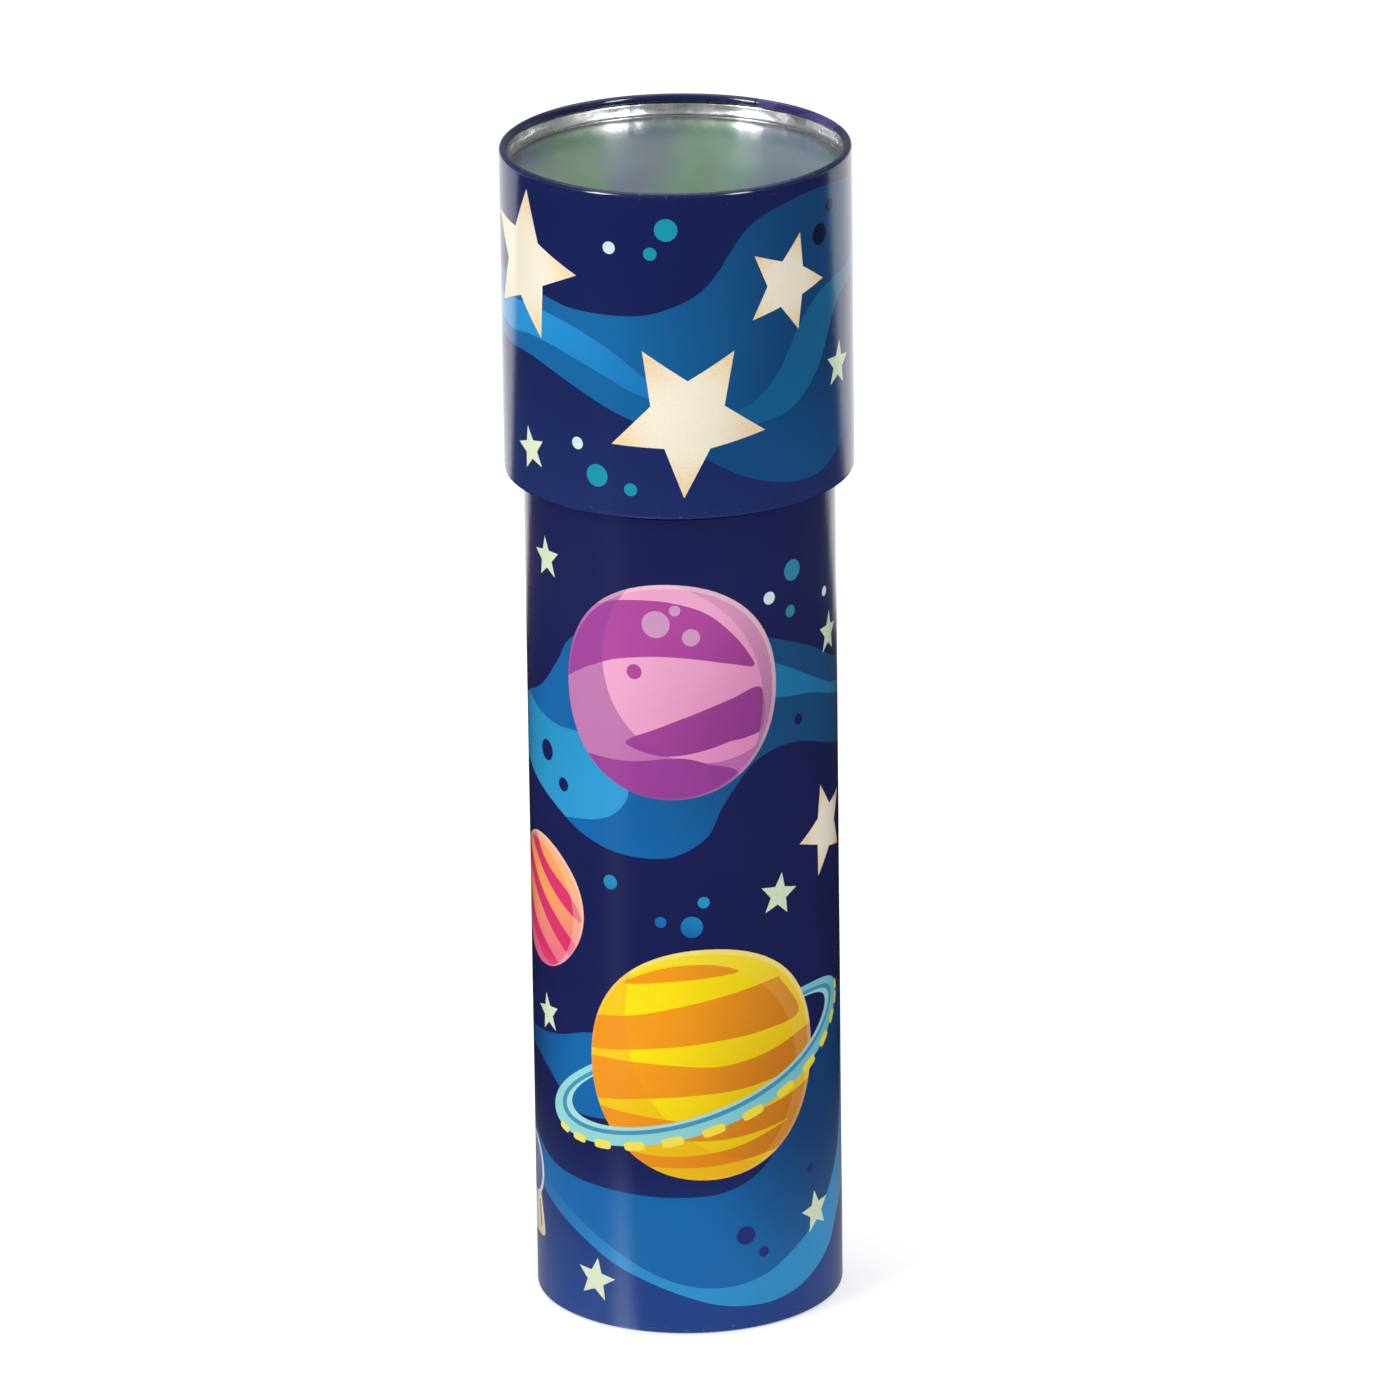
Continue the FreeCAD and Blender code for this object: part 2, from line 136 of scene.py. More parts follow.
def make_lights():
    """The key and the fill light every surface but aren't mirrored. The sparkles are only mirrored."""
    lights = {name: make_softbox(name, *place) for name, place in SOFTBOXES.items()}
    for name in ("key_left", "fill_right"):
        lights[name].visible_glossy = False
    sparkles = [lights["sparkle_left"], lights["sparkle_right"]]
    for sparkle in sparkles:
        sparkle.visible_diffuse = False
        sparkle.visible_transmission = False
    world = bpy.data.worlds.new("studio")
    world.use_nodes = True
    surroundings = world.node_tree.nodes["Background"]
    surroundings.inputs["Color"].default_value = (1, 1, 1, 1)
    surroundings.inputs["Strength"].default_value = WORLD_LIGHT
    bpy.context.scene.world = world
    bpy.context.scene.view_settings.view_transform = "Standard"
    return sparkles


def light_only(lights, pieces):
    """Keeps the lights off all but the pieces: the flat window would mirror them as one white glare."""
    lit = bpy.data.collections.new("tin_for_sparkles")
    for piece in pieces:
        lit.objects.link(piece)
    for light in lights:
        light.light_linking.receiver_collection = lit


def link_object(name, mesh):
    piece = bpy.data.objects.new(name, mesh)
    bpy.context.scene.collection.objects.link(piece)
    return piece


def make_floor():
    """White paper. Reflections in the tin don't see it: they see the reflection card."""
    mesh = bpy.data.meshes.new("floor")
    corners = [(-1, -1), (1, -1), (1, 1), (-1, 1)]
    points = [(x * FLOOR_HALF, y * FLOOR_HALF, FLOOR_LEVEL) for x, y in corners]
    mesh.from_pydata(points, [], [(0, 1, 2, 3)])
    paper = Paint("floor_paper")
    paper.set("Base Color", (0.92, 0.92, 0.92, 1))
    paper.set("Roughness", 0.9)
    paper.set("Specular IOR Level", 0.1)
    paper.set("Emission Color", (1, 1, 1, 1))
    paper.set("Emission Strength", 0.5)
    mesh.materials.append(paper.material)
    floor = link_object("floor", mesh)
    floor.visible_glossy = False


def card_brightness(across, back):
    """The set as the tin sees it, in metres from the object: a dark table, a white sweep behind it, pale
    paper at the foot, and the faint image of a lamp to the left."""
    distance = math.hypot(across, back)
    sweep = SWEEP_LIGHT * ease((back - SWEEP_EDGE + SWEEP_LEAN * across) / SWEEP_FADE)
    paper = PAPER_LIGHT * ease((PAPER_EDGE - distance) / PAPER_FADE)
    off_lamp = math.degrees(math.atan2(across, -back)) - LAMP_AZIMUTH
    lamp = LAMP_LIGHT * ease(1 - abs(off_lamp) / LAMP_HALF_ANGLE) * ease((LAMP_END - distance) / LAMP_FADE)
    # the lamp's image near the base starts at the wall, 26 degrees to the left, and runs away from it
    offset = Vector((across, back)) - IMAGE_START
    along, beside = offset.dot(IMAGE_WAY), abs(offset.cross(IMAGE_WAY))
    if along > 0:
        spread = IMAGE_HALF_WIDTH + IMAGE_SPREAD * along
        lamp += IMAGE_LIGHT * ease(1 - beside / spread) * max(0.0, 1 - along / IMAGE_REACH)
    near_cap = HAZE_LIGHT * ease(1 - abs(distance - HAZE_DISTANCE) / HAZE_FADE)
    return TABLE_LIGHT + max(sweep, paper) + lamp + near_cap


def ring_faces(rings, columns, closed=False):
    """Four-sided faces between rings of points, and from the last ring to the first when closed."""
    faces = []
    for ring in range(rings if closed else rings - 1):
        here, beyond = ring * columns, (ring + 1) % rings * columns
        for column in range(columns):
            following = (column + 1) % columns
            faces.append((here + column, here + following, beyond + following, beyond + column))
    return faces


def make_reflection_card():
    """Seen only in reflections, just under the floor."""
    points = []
    for row in range(CARD_ROWS + 1):
        distance = CARD_START * (CARD_REACH / CARD_START) ** (row / CARD_ROWS)
        for column in range(CARD_COLUMNS):
            angle = 2 * math.pi * column / CARD_COLUMNS
            points.append((math.sin(angle) * distance, -math.cos(angle) * distance, CARD_LEVEL))
    faces = ring_faces(CARD_ROWS + 1, CARD_COLUMNS)
    mesh = bpy.data.meshes.new("reflection_card")
    mesh.from_pydata(points, [], faces)
    light = mesh.color_attributes.new("light", "FLOAT_COLOR", "POINT")
    for index, (x, y, _) in enumerate(points):
        value = card_brightness(x, y)
        light.data[index].color = (value, value, value, 1.0)
    paper = Paint("reflection_card")
    paper.set("Base Color", (0, 0, 0, 1))
    paper.set("Specular IOR Level", 0.0)
    paper.set("Emission Strength", 1.0)
    paper.link(paper.attribute("light"), "Emission Color")
    mesh.materials.append(paper.material)
    card = link_object("reflection_card", mesh)
    for ray in ("camera", "diffuse", "transmission", "shadow", "volume_scatter"):
        setattr(card, "visible_" + ray, False)


# ================================================================ material nodes


class Paint:
    """A Principled material, with short names for the nodes that this script needs."""

    def __init__(self, name):
        self.material = bpy.data.materials.new(name)
        self.material.use_nodes = True
        self.tree = self.material.node_tree
        self.shader = self.tree.nodes["Principled BSDF"]
        self.place = None

    def set(self, socket, value):
        self.shader.inputs[socket].default_value = value

    def node(self, kind, **settings):
        made = self.tree.nodes.new(kind)
        for key, value in settings.items():
            setattr(made, key, value)
        return made

    def wire(self, source, target):
        if isinstance(source, (int, float)):
            target.default_value = source
        elif isinstance(source, tuple):
            target.default_value = (*source, 1.0)
        else:
            self.tree.links.new(source, target)

    def link(self, source, socket):
        self.tree.links.new(source, self.shader.inputs[socket])

    def attribute(self, name):
        return self.node("ShaderNodeAttribute", attribute_name=name).outputs["Color"]

    def channels(self, colour):
        split = self.node("ShaderNodeSeparateColor")
        self.wire(colour, split.inputs[0])
        return split.outputs

    def position(self):
        if self.place is None:
            self.place = self.node("ShaderNodeTexCoord").outputs["Object"]
        return self.place

    def grain(self, size, stretch=(1, 1, 1), detail=2.0, rough=0.5):
        """Noise whose grains are about size millimetres across, times stretch."""
        mapping = self.node("ShaderNodeMapping")
        mapping.inputs["Scale"].default_value = [1 / (size * MM * factor) for factor in stretch]
        self.wire(self.position(), mapping.inputs["Vector"])
        made = self.node("ShaderNodeTexNoise")
        made.inputs["Scale"].default_value = 1.0
        made.inputs["Detail"].default_value = detail
        made.inputs["Roughness"].default_value = rough
        self.wire(mapping.outputs["Vector"], made.inputs["Vector"])
        return made.outputs["Fac"]

    def spread(self, value, low, high, first, second):
        """Takes the range from low to high over to the range from first to second."""
        made = self.node("ShaderNodeMapRange")
        sockets = ("Value", "From Min", "From Max", "To Min", "To Max")
        for socket, number in zip(sockets, (value, low, high, first, second)):
            self.wire(number, made.inputs[socket])
        return made.outputs["Result"]

    def from_noise(self, value, first, second):
        """Takes the usual range of a noise over to the range from first to second."""
        return self.spread(value, 0.3, 0.7, first, second)

    def math(self, operation, first, second=0.0):
        made = self.node("ShaderNodeMath", operation=operation)
        self.wire(first, made.inputs[0])
        self.wire(second, made.inputs[1])
        return made.outputs[0]

    def mix(self, share, first, second, blend="MIX"):
        """A mix of two colours, which are the node's inputs 6 and 7 and its output 2."""
        made = self.node("ShaderNodeMix", data_type="RGBA", blend_type=blend)
        self.wire(share, made.inputs["Factor"])
        self.wire(first, made.inputs[6])
        self.wire(second, made.inputs[7])
        return made.outputs[2]

    def tone(self, value):
        """A value as a grey."""
        made = self.node("ShaderNodeCombineColor")
        for socket in range(3):
            self.wire(value, made.inputs[socket])
        return made.outputs[0]

    def bump(self, height, depth, coat=False):
        made = self.node("ShaderNodeBump")
        made.inputs["Distance"].default_value = depth * MM
        made.inputs["Strength"].default_value = 1.0
        self.wire(height, made.inputs["Height"])
        self.link(made.outputs["Normal"], "Normal")
        if coat:
            self.link(made.outputs["Normal"], "Coat Normal")


# width of one green and one blue-grey band in the frosted window's colour: the bands are painted, and stand
# in for the blurred bits seen through it
PAINTED_BITS_BAND_WIDTH = 23.0


def printed_tin():
    """Offset-printed inks under clear lacquer, with grainy star points and faint rubbing on the bends."""
    paint = Paint("printed_tin")
    grain, rub = paint.channels(paint.attribute("marks"))[:2]
    fine = paint.grain(0.16, detail=3.0, rough=0.65)
    cloudy = paint.grain(26, detail=1.0)
    ink = paint.mix(paint.from_noise(fine, 0.0, 0.09), paint.attribute("ink"), (0.0, 0.01, 0.04))
    ink = paint.mix(1.0, ink, paint.tone(paint.spread(cloudy, 0.35, 0.65, 0.93, 1.03)), "MULTIPLY")
    speckle = paint.spread(paint.grain(0.42, detail=4.0, rough=0.75), 0.53, 0.60, 0.0, 1.0)
    speckle = paint.math("MULTIPLY", speckle, paint.math("MULTIPLY", grain, 0.55))
    ink = paint.mix(speckle, ink, (0.62, 0.42, 0.20))
    worn = paint.spread(paint.grain(0.9, stretch=(1, 1, 0.5), detail=6.0, rough=0.8), 0.60, 0.70, 0.0, 0.7)
    worn = paint.math("MULTIPLY", worn, rub)
    paint.link(paint.mix(worn, ink, (0.55, 0.56, 0.60)), "Base Color")
    paint.link(paint.spread(worn, 0.0, 1.0, 0.0, 0.9), "Metallic")
    paint.link(paint.from_noise(cloudy, 0.34, 0.42), "Roughness")
    paint.set("Specular IOR Level", 0.05)
    paint.set("Coat Weight", 0.9)
    paint.set("Coat Roughness", 0.09)
    paint.set("Coat IOR", 1.5)
    paint.bump(paint.grain(1.1, detail=2.0), 0.010, coat=True)
    return paint.material


def bare_tin():
    """Tinplate with rolling lines and a few dull patches."""
    paint = Paint("bare_tin")
    lines = paint.grain(0.22, stretch=(1, 1, 60), detail=3.0, rough=0.6)
    patches = paint.grain(7, detail=4.0, rough=0.6)
    colour = paint.mix(paint.spread(patches, 0.35, 0.65, 0.0, 1.0), (0.66, 0.67, 0.68), (0.80, 0.80, 0.79))
    paint.link(paint.mix(paint.from_noise(lines, 0.0, 0.3), colour, (0.45, 0.46, 0.48)), "Base Color")
    paint.link(paint.from_noise(patches, 0.20, 0.34), "Roughness")
    paint.set("Metallic", 1.0)
    paint.bump(lines, 0.004)
    return paint.material


def clear_plastic():
    """Clear polystyrene with hairline scuffs."""
    paint = Paint("clear_plastic")
    scuffs = paint.grain(0.5, stretch=(1, 14, 1), detail=4.0, rough=0.7)
    paint.set("Base Color", (0.97, 0.985, 0.98, 1))
    paint.set("Transmission Weight", 1.0)
    paint.set("IOR", 1.49)
    paint.link(paint.spread(scuffs, 0.55, 0.75, 0.02, 0.16), "Roughness")
    paint.bump(scuffs, 0.002)
    return paint.material


def frosted_plastic():
    """Ground plastic: the bits behind it are a soft blur. Broad green and blue-grey bands are painted into
    its greenish colour, and stand in for the blurred colours of the bits seen through it.
    """
    paint = Paint("frosted_plastic")
    ground = paint.grain(0.22, detail=3.0, rough=0.6)
    wander = paint.math("MULTIPLY", paint.grain(14, detail=1.0), 10 * MM)
    # the green and blue-grey bands below are painted in, as a stand-in for the light of the coloured bits
    # that shows through the window
    place = paint.node("ShaderNodeSeparateXYZ")
    paint.wire(paint.position(), place.inputs[0])
    across = paint.math("ADD", place.outputs["X"], wander)
    painted_bit_bands = paint.math("COSINE", paint.math("MULTIPLY", across, 2 * math.pi / (PAINTED_BITS_BAND_WIDTH * MM)))
    painted_bits_tint = paint.mix(paint.spread(painted_bit_bands, -0.7, 0.7, 0.0, 1.0), (0.62, 1.0, 0.69), (0.58, 0.73, 0.86))
    paint.link(painted_bits_tint, "Base Color")
    paint.set("Transmission Weight", 0.96)
    paint.set("IOR", 1.42)
    paint.link(paint.from_noise(ground, 0.16, 0.24), "Roughness")
    paint.set("Coat Weight", 1.0)
    paint.set("Coat Roughness", 0.26)
    paint.set("Coat IOR", 1.6)
    paint.bump(ground, 0.003)
    return paint.material


def paperboard(name, dark, light, fibre):
    """Fibrous paperboard."""
    paint = Paint(name)
    fibres = paint.grain(fibre, stretch=(1, 5, 1), detail=5.0, rough=0.7)
    patches = paint.grain(5, detail=3.0)
    colour = paint.mix(paint.from_noise(fibres, 0.0, 1.0), dark, light)
    paint.link(paint.mix(paint.spread(patches, 0.4, 0.7, 0.0, 0.25), colour, dark), "Base Color")
    paint.link(paint.from_noise(fibres, 0.92, 0.75), "Roughness")
    paint.set("Specular IOR Level", 0.25)
    paint.set("Sheen Weight", 0.08)
    paint.bump(fibres, 0.03)
    return paint.material


def mirror_strip():
    """Silvered glass with a grey painted back: the side that faces the tube's axis is the mirror."""
    paint = Paint("mirror_strip")
    flat = paint.node("ShaderNodeVectorMath", operation="MULTIPLY")
    paint.wire(paint.position(), flat.inputs[0])
    flat.inputs[1].default_value = (-1, -1, 0)
    inward = paint.node("ShaderNodeVectorMath", operation="DOT_PRODUCT")
    paint.wire(paint.node("ShaderNodeTexCoord").outputs["Normal"], inward.inputs[0])
    paint.wire(flat.outputs[0], inward.inputs[1])
    facing = paint.math("GREATER_THAN", inward.outputs["Value"], 2 * MM)
    smear = paint.grain(6, stretch=(1, 1, 3), detail=4.0)
    back = paint.mix(paint.grain(0.3, detail=4.0), (0.13, 0.14, 0.15), (0.22, 0.23, 0.24))
    paint.link(paint.mix(facing, back, (0.90, 0.91, 0.91)), "Base Color")
    paint.link(facing, "Metallic")
    polish = paint.spread(smear, 0.4, 0.8, 0.015, 0.06)
    # the painted back is rough, and the side that faces the axis has the polish of glass
    back_rough = 0.6
    smoother = paint.math("MULTIPLY", facing, paint.math("SUBTRACT", back_rough, polish))
    paint.link(paint.math("SUBTRACT", back_rough, smoother), "Roughness")
    return paint.material


def spring_wire():
    paint = Paint("spring_wire")
    drawn = paint.grain(0.08, stretch=(12, 12, 1), detail=3.0)
    paint.link(paint.mix(drawn, (0.36, 0.36, 0.37), (0.62, 0.62, 0.63)), "Base Color")
    paint.set("Metallic", 1.0)
    paint.link(paint.from_noise(drawn, 0.22, 0.4), "Roughness")
    paint.bump(drawn, 0.003)
    return paint.material


def white_plastic():
    """Moulded polystyrene with a fine matt texture."""
    paint = Paint("white_plastic")
    spark = paint.grain(0.25, detail=3.0, rough=0.6)
    paint.link(paint.mix(paint.grain(9, detail=2.0), (0.42, 0.43, 0.43), (0.50, 0.50, 0.49)), "Base Color")
    paint.link(paint.from_noise(spark, 0.36, 0.48), "Roughness")
    paint.set("Subsurface Weight", 0.15)
    paint.set("Subsurface Radius", (0.002, 0.002, 0.002))
    paint.bump(spark, 0.006)
    return paint.material


def coloured_plastic(name, thin, deep):
    """Tinted translucent plastic with cloudy swirls and dusty scuffs."""
    paint = Paint(name)
    swirl = paint.grain(3.2, stretch=(1, 1.6, 1), detail=3.0, rough=0.55)
    depth = paint.spread(swirl, 0.32, 0.68, 0.0, 1.0)
    paint.link(paint.mix(depth, linear(thin), linear(deep)), "Base Color")
    paint.set("Transmission Weight", 0.3)
    paint.set("IOR", 1.5)
    scuffs = paint.grain(0.35, detail=4.0, rough=0.7)
    paint.link(paint.spread(scuffs, 0.4, 0.75, 0.10, 0.30), "Roughness")
    paint.bump(scuffs, 0.004)
    return paint.material


# ================================================================ inks and outlines


def linear(code):
    """A hex colour as linear red, green and blue."""
    values = (int(code[index:index + 2], 16) / 255 for index in (1, 3, 5))
    return tuple(v / 12.92 if v <= 0.04045 else ((v + 0.055) / 1.055) ** 2.4 for v in values)


def ease(value):
    value = min(1.0, max(0.0, value))
    return value * value * (3 - 2 * value)


def circle(centre, radius, points=40, squash=1.0, tilt=0.0, plump=2.0):
    """A circle. squash makes it an ellipse turned by tilt, and plump above 2 makes it a little square."""
    turn = math.radians(tilt)
    outline = []
    for index in range(points):
        angle = 2 * math.pi * index / points
        cosine, sine = math.cos(angle), math.sin(angle)
        reach = radius * (abs(cosine) ** plump + abs(sine) ** plump) ** (-1 / plump)
        along, across = reach * cosine, reach * sine * squash
        u = centre[0] + along * math.cos(turn) - across * math.sin(turn)
        level = centre[1] + along * math.sin(turn) + across * math.cos(turn)
        outline.append((u, level))
    return outline


def star(centre, radius, turn, waist, leans=(0, 0, 0, 0, 0)):
    """A five-pointed star. leans are the angles by which its points are off a regular star's."""
    outline = []
    for index in range(10):
        reach = radius if index % 2 == 0 else radius * waist
        lean = leans[index // 2] if index % 2 == 0 else 0
        angle = math.radians(turn + 36 * index + lean)
        outline.append((centre[0] + reach * math.cos(angle), centre[1] + reach * math.sin(angle)))
    return outline


def smooth(points, steps=7):
    """A closed curve through the points (Catmull-Rom)."""
    outline = []
    count = len(points)
    for index in range(count):
        before, start, end, after = (Vector(points[(index + shift) % count]) for shift in (-1, 0, 1, 2))
        for step in range(steps):
            t = step / steps
            straight = (end - before) * t
            curve = (2 * before - 5 * start + 4 * end - after) * t * t
            twist = (3 * start - before - 3 * end + after) * t * t * t
            outline.append(tuple((2 * start + straight + curve + twist) / 2))
    return outline


def on_disc(centre, radius, tilt, points):
    """Points given in shares of a disc's radius, put on the disc."""
    cosine, sine = math.cos(math.radians(tilt)), math.sin(math.radians(tilt))
    return [
        (centre[0] + radius * (x * cosine - y * sine), centre[1] + radius * (x * sine + y * cosine))
        for x, y in points
    ]


def rectangle(centre, width, height, turn):
    corners = [(-0.5, -0.5), (0.5, -0.5), (0.5, 0.5), (-0.5, 0.5)]
    return on_disc(centre, 1.0, turn, [(x * width, y * height) for x, y in corners])


class Ink:
    """A flat or blended ink. fade is (start point, end point), with the first colour and cover at the start
    and the second at the end. grain is the share of speckle."""

    def __init__(self, first, second=None, fade=None, cover=1.0, cover_end=None, grain=0.0):
        self.first = Vector(linear(first))
        self.second = Vector(linear(second or first))
        self.fade = fade
        self.cover = cover
        self.cover_end = cover if cover_end is None else cover_end
        self.grain = grain

    def at(self, point):
        """The ink's colour and cover at a point."""
        if self.fade is None:
            return self.first, self.cover
        start, end = Vector(self.fade[0]), Vector(self.fade[1])
        run = end - start
        share = ease((Vector(point) - start).dot(run) / run.length_squared)
        return self.first.lerp(self.second, share), self.cover + (self.cover_end - self.cover) * share


class Art:
    """A flat picture: outlines, and layers of ink laid over each other in order."""

    def __init__(self, ground):
        self.ground = ground
        self.outlines = []
        self.layers = []

    def outline(self, points):
        """Keeps an outline, anticlockwise, and returns its number."""
        area = sum(a[0] * b[1] - b[0] * a[1] for a, b in zip(points, points[1:] + points[:1]))
        self.outlines.append(points if area > 0 else points[::-1])
        return len(self.outlines) - 1

    def lay(self, ink, inside, outside=()):
        """Ink on what is inside every outline of inside and in none of outside."""
        self.layers.append((ink, frozenset(inside), frozenset(outside)))

    def fill(self, points, ink, inside=()):
        number = self.outline(points)
        self.lay(ink, (number, *inside))
        return number

    def blob(self, ink, points, inside=()):
        """Ink inside a smooth curve through the points."""
        return self.fill(smooth(points), ink, inside)

    def inks(self, members, points):
        """Colour and grain at each corner of a face that lies inside the outlines in members."""
        used = [self.ground]
        used += [ink for ink, inside, outside in self.layers if inside <= members and not outside & members]
        result = []
        for point in points:
            colour, grain = Vector((0, 0, 0)), 0.0
            for ink in used:
                shade, cover = ink.at(point)
                colour = colour.lerp(shade, cover)
                grain += (ink.grain - grain) * cover
            result.append((colour, grain))
        return result


NAVY = "#181e56"
NAVY_FOOT = "#1a418b"
NAVY_LIGHT = "#1b2c66"
DEEP = "#141f57"
OCEAN = "#0b4c86"
BLUE = "#0c68ad"
SKY = "#2394c7"
BLUE_DARK = "#134d7e"
TEAL = "#1496ad"
PALE = "#d4ebf1"
CREAM = "#f8efd9"
PEACH = "#f6d29b"
GLOW = "#dcebcb"


def add_star(art, centre, radius, turn, leans=(0, 0, 0, 0, 0)):
    """A big cream star with peach, grainy points."""
    shape = art.fill(star(centre, radius, turn, 0.47, leans), Ink(CREAM, grain=0.12))
    for index, lean in enumerate(leans):
        angle = math.radians(turn + 72 * index + lean)
        way = Vector((math.cos(angle), math.sin(angle)))
        tip = Vector(centre) + radius * way
        inner = Vector(centre) + 0.35 * radius * way
        ink = Ink(PEACH, fade=(inner, tip), cover=0.0, cover_end=0.8, grain=1.0)
        art.fill(circle(tip, radius * 0.68, points=20), ink, inside=(shape,))


def add_small_stars(art, places):
    for u, level, radius, turn in places:
        art.fill(star((u, level), radius, turn, 0.44), Ink(GLOW, grain=0.35))


def add_dots(art, dots, ink):
    for u, level, radius in dots:
        art.fill(circle((u, level), radius, points=20), ink)


def add_planet(
    art, centre, radius, base, stripe, stripes, veil,
    crescent=Ink("#fff3e6", cover=0.2), rim=0.3, lit=(0.34, 0.17, 1.02), core=(-0.17, -0.10, 0.98),
    tilt=0, craters=(), spots=(),
):
    """A plump planet. The stripes are outlines in shares of its radius. The veil darkens what is outside the
    lit disc, the crescent tones what is outside the core, and a pale rim lights the right side."""
    disc = art.fill(circle(centre, radius, points=72, plump=2.1, tilt=tilt), base)
    for points in stripes:
        art.fill(smooth(on_disc(centre, radius, tilt, points), steps=6), stripe, inside=(disc,))
    for places, ink in ((craters, Ink("#ffe9f6", cover=0.34)), (spots, stripe)):
        for x, y, size in places:
            spot = on_disc(centre, radius, tilt, [(x, y)])[0]
            art.fill(circle(spot, size * radius, points=24), ink, inside=(disc,))
    for (x, y, size), ink in ((lit, veil), (core, crescent)):
        spared = art.outline(circle(on_disc(centre, radius, 0, [(x, y)])[0], size * radius, points=60))
        art.lay(ink, (disc,), (spared,))
    inner = on_disc(centre, radius, 0, [(-0.012, -0.012)])[0]
    edge = art.outline(circle(inner, 0.972 * radius, 72, tilt=tilt, plump=2.1))
    fade = on_disc(centre, radius, 0, [(-0.8, -0.8), (0.8, 0.8)])
    art.lay(Ink("#fff6e8", fade=fade, cover=0.0, cover_end=rim), (disc,), (edge,))


def add_ringed_planet(art):
    """The planet is drawn over the far half of its ring, and the near half of the ring over the planet."""
    centre, radius = (3.3, 47.4), 20.2
    tilt, reach, squash = 18.0, 31.0, 0.29
    # each ellipse of the ring: height of its middle above the planet's, long half axis, and squash
    ellipses = [(-2.4, reach, squash), (-1.6, 26.0, 0.25), (-1.9, 28.6, 0.262), (-1.85, 27.5, 0.246)]
    hoop, hole, line_out, line_in = (
        art.outline(circle((centre[0], centre[1] + drop), length, 96, squash=share, tilt=tilt))
        for drop, length, share in ellipses
    )
    ring_middle = (centre[0], centre[1] - 2.4)
    near = art.outline(rectangle(on_disc(ring_middle, 1.0, tilt, [(0, -20)])[0], 84, 40, tilt))

    def lay_ring(where):
        art.lay(Ink("#97dbd8", "#74c3d2", ((-25, 36), (32, 54))), (hoop, *where), (hole,))
        art.lay(Ink("#4794bd"), (line_out, *where), (line_in,))
        art.lay(Ink("#b9e8e2", cover=0.5), (line_in, *where), (hole,))

    lay_ring(())
    add_planet(
        art, centre, radius,
        Ink("#fde400", "#eec30a", ((-8, 56), (20, 36))),
        Ink("#f69c12", "#d37d14", ((-8, 52), (20, 42))),
        [
            [
                (-0.68, 0.69), (-0.42, 0.82), (-0.17, 0.87), (0.08, 0.86), (0.27, 0.79), (0.08, 0.76),
                (-0.26, 0.73),
            ],
            [
                (-1.10, 0.32), (-0.59, 0.42), (-0.17, 0.52), (0.21, 0.60), (0.60, 0.67), (0.66, 0.64),
                (0.85, 0.32), (0.48, 0.24), (0.07, 0.20), (-0.37, 0.15), (-1.10, 0.08),
            ],
            [
                (-1.10, -0.02), (-0.59, 0.01), (-0.27, 0.00), (0.10, -0.02), (0.50, 0.04), (1.05, 0.18),
                (1.05, -0.08), (0.40, -0.22), (-0.10, -0.26), (-0.45, -0.29), (-1.10, -0.34),
            ],
            [
                (-1.10, -0.41), (-0.44, -0.46), (0.10, -0.50), (0.70, -0.38), (1.10, -0.26), (1.10, -0.48),
                (0.60, -0.60), (0.00, -0.66), (-1.0, -0.58),
            ],
            [
                (-1.00, -0.72), (-0.40, -0.79), (0.20, -0.74), (0.90, -0.54), (0.90, -0.73), (0.40, -0.84),
                (-0.20, -0.89), (-1.0, -0.85),
            ],
        ],
        Ink("#ee8d13", cover=0.34),
        crescent=Ink("#f1d877", cover=0.14), rim=0.22, lit=(0.62, 0.40, 1.30),
    )
    lay_ring((near,))
    dashes, first_dash, dash_step = 13, 199.9, 13.3
    for index in range(dashes):
        step = math.radians(first_dash + dash_step * index)
        x, y = math.cos(step), squash * math.sin(step)
        speed = math.hypot(math.sin(step), squash * math.cos(step))
        heading = math.degrees(math.atan2(squash * math.cos(step), -math.sin(step))) + tilt
        dash = circle(
            on_disc(ring_middle, reach, tilt, [(x, y)])[0],
            0.5 + 1.45 * speed, 20, squash=0.42 + 0.2 * (1 - speed), tilt=heading, plump=5,
        )
        art.fill(dash, Ink("#f3ea6a", "#f8e23f", ((-28, 40), (10, 30))))


def add_capsule(art, place, size):
    """A small landing capsule: a glass dome in a cream hoop, on a cream skirt with dark stripes. size is the
    hoop's radius."""
    x, y = place
    skirt = [
        (-0.6, -0.66), (-0.2, -0.87), (0.2, -0.87), (0.58, -0.66), (0.84, -1.18), (1.0, -1.9),
        (0.53, -2.05), (-0.53, -2.05), (-1.0, -1.9), (-0.84, -1.18),
    ]
    skirt_fade = ((x, y - 0.8 * size), (x, y - 2.4 * size))
    art.blob(Ink(CREAM, PEACH, skirt_fade), on_disc(place, size, 0, skirt))
    for side in (-1, 1):
        stripe = rectangle((x + side * 0.6 * size, y - 1.37 * size), 0.12 * size, 0.8 * size, 12 * side)
        art.fill(stripe, Ink("#56604c"))
    art.fill(circle(place, size, points=56), Ink("#e9e4dc"))
    sheen = on_disc(place, size, 0, [(-0.66, 0.66), (0.66, -0.66)])
    art.fill(circle(place, 0.84 * size, points=48), Ink("#8ea4c8", "#46619a", sheen))


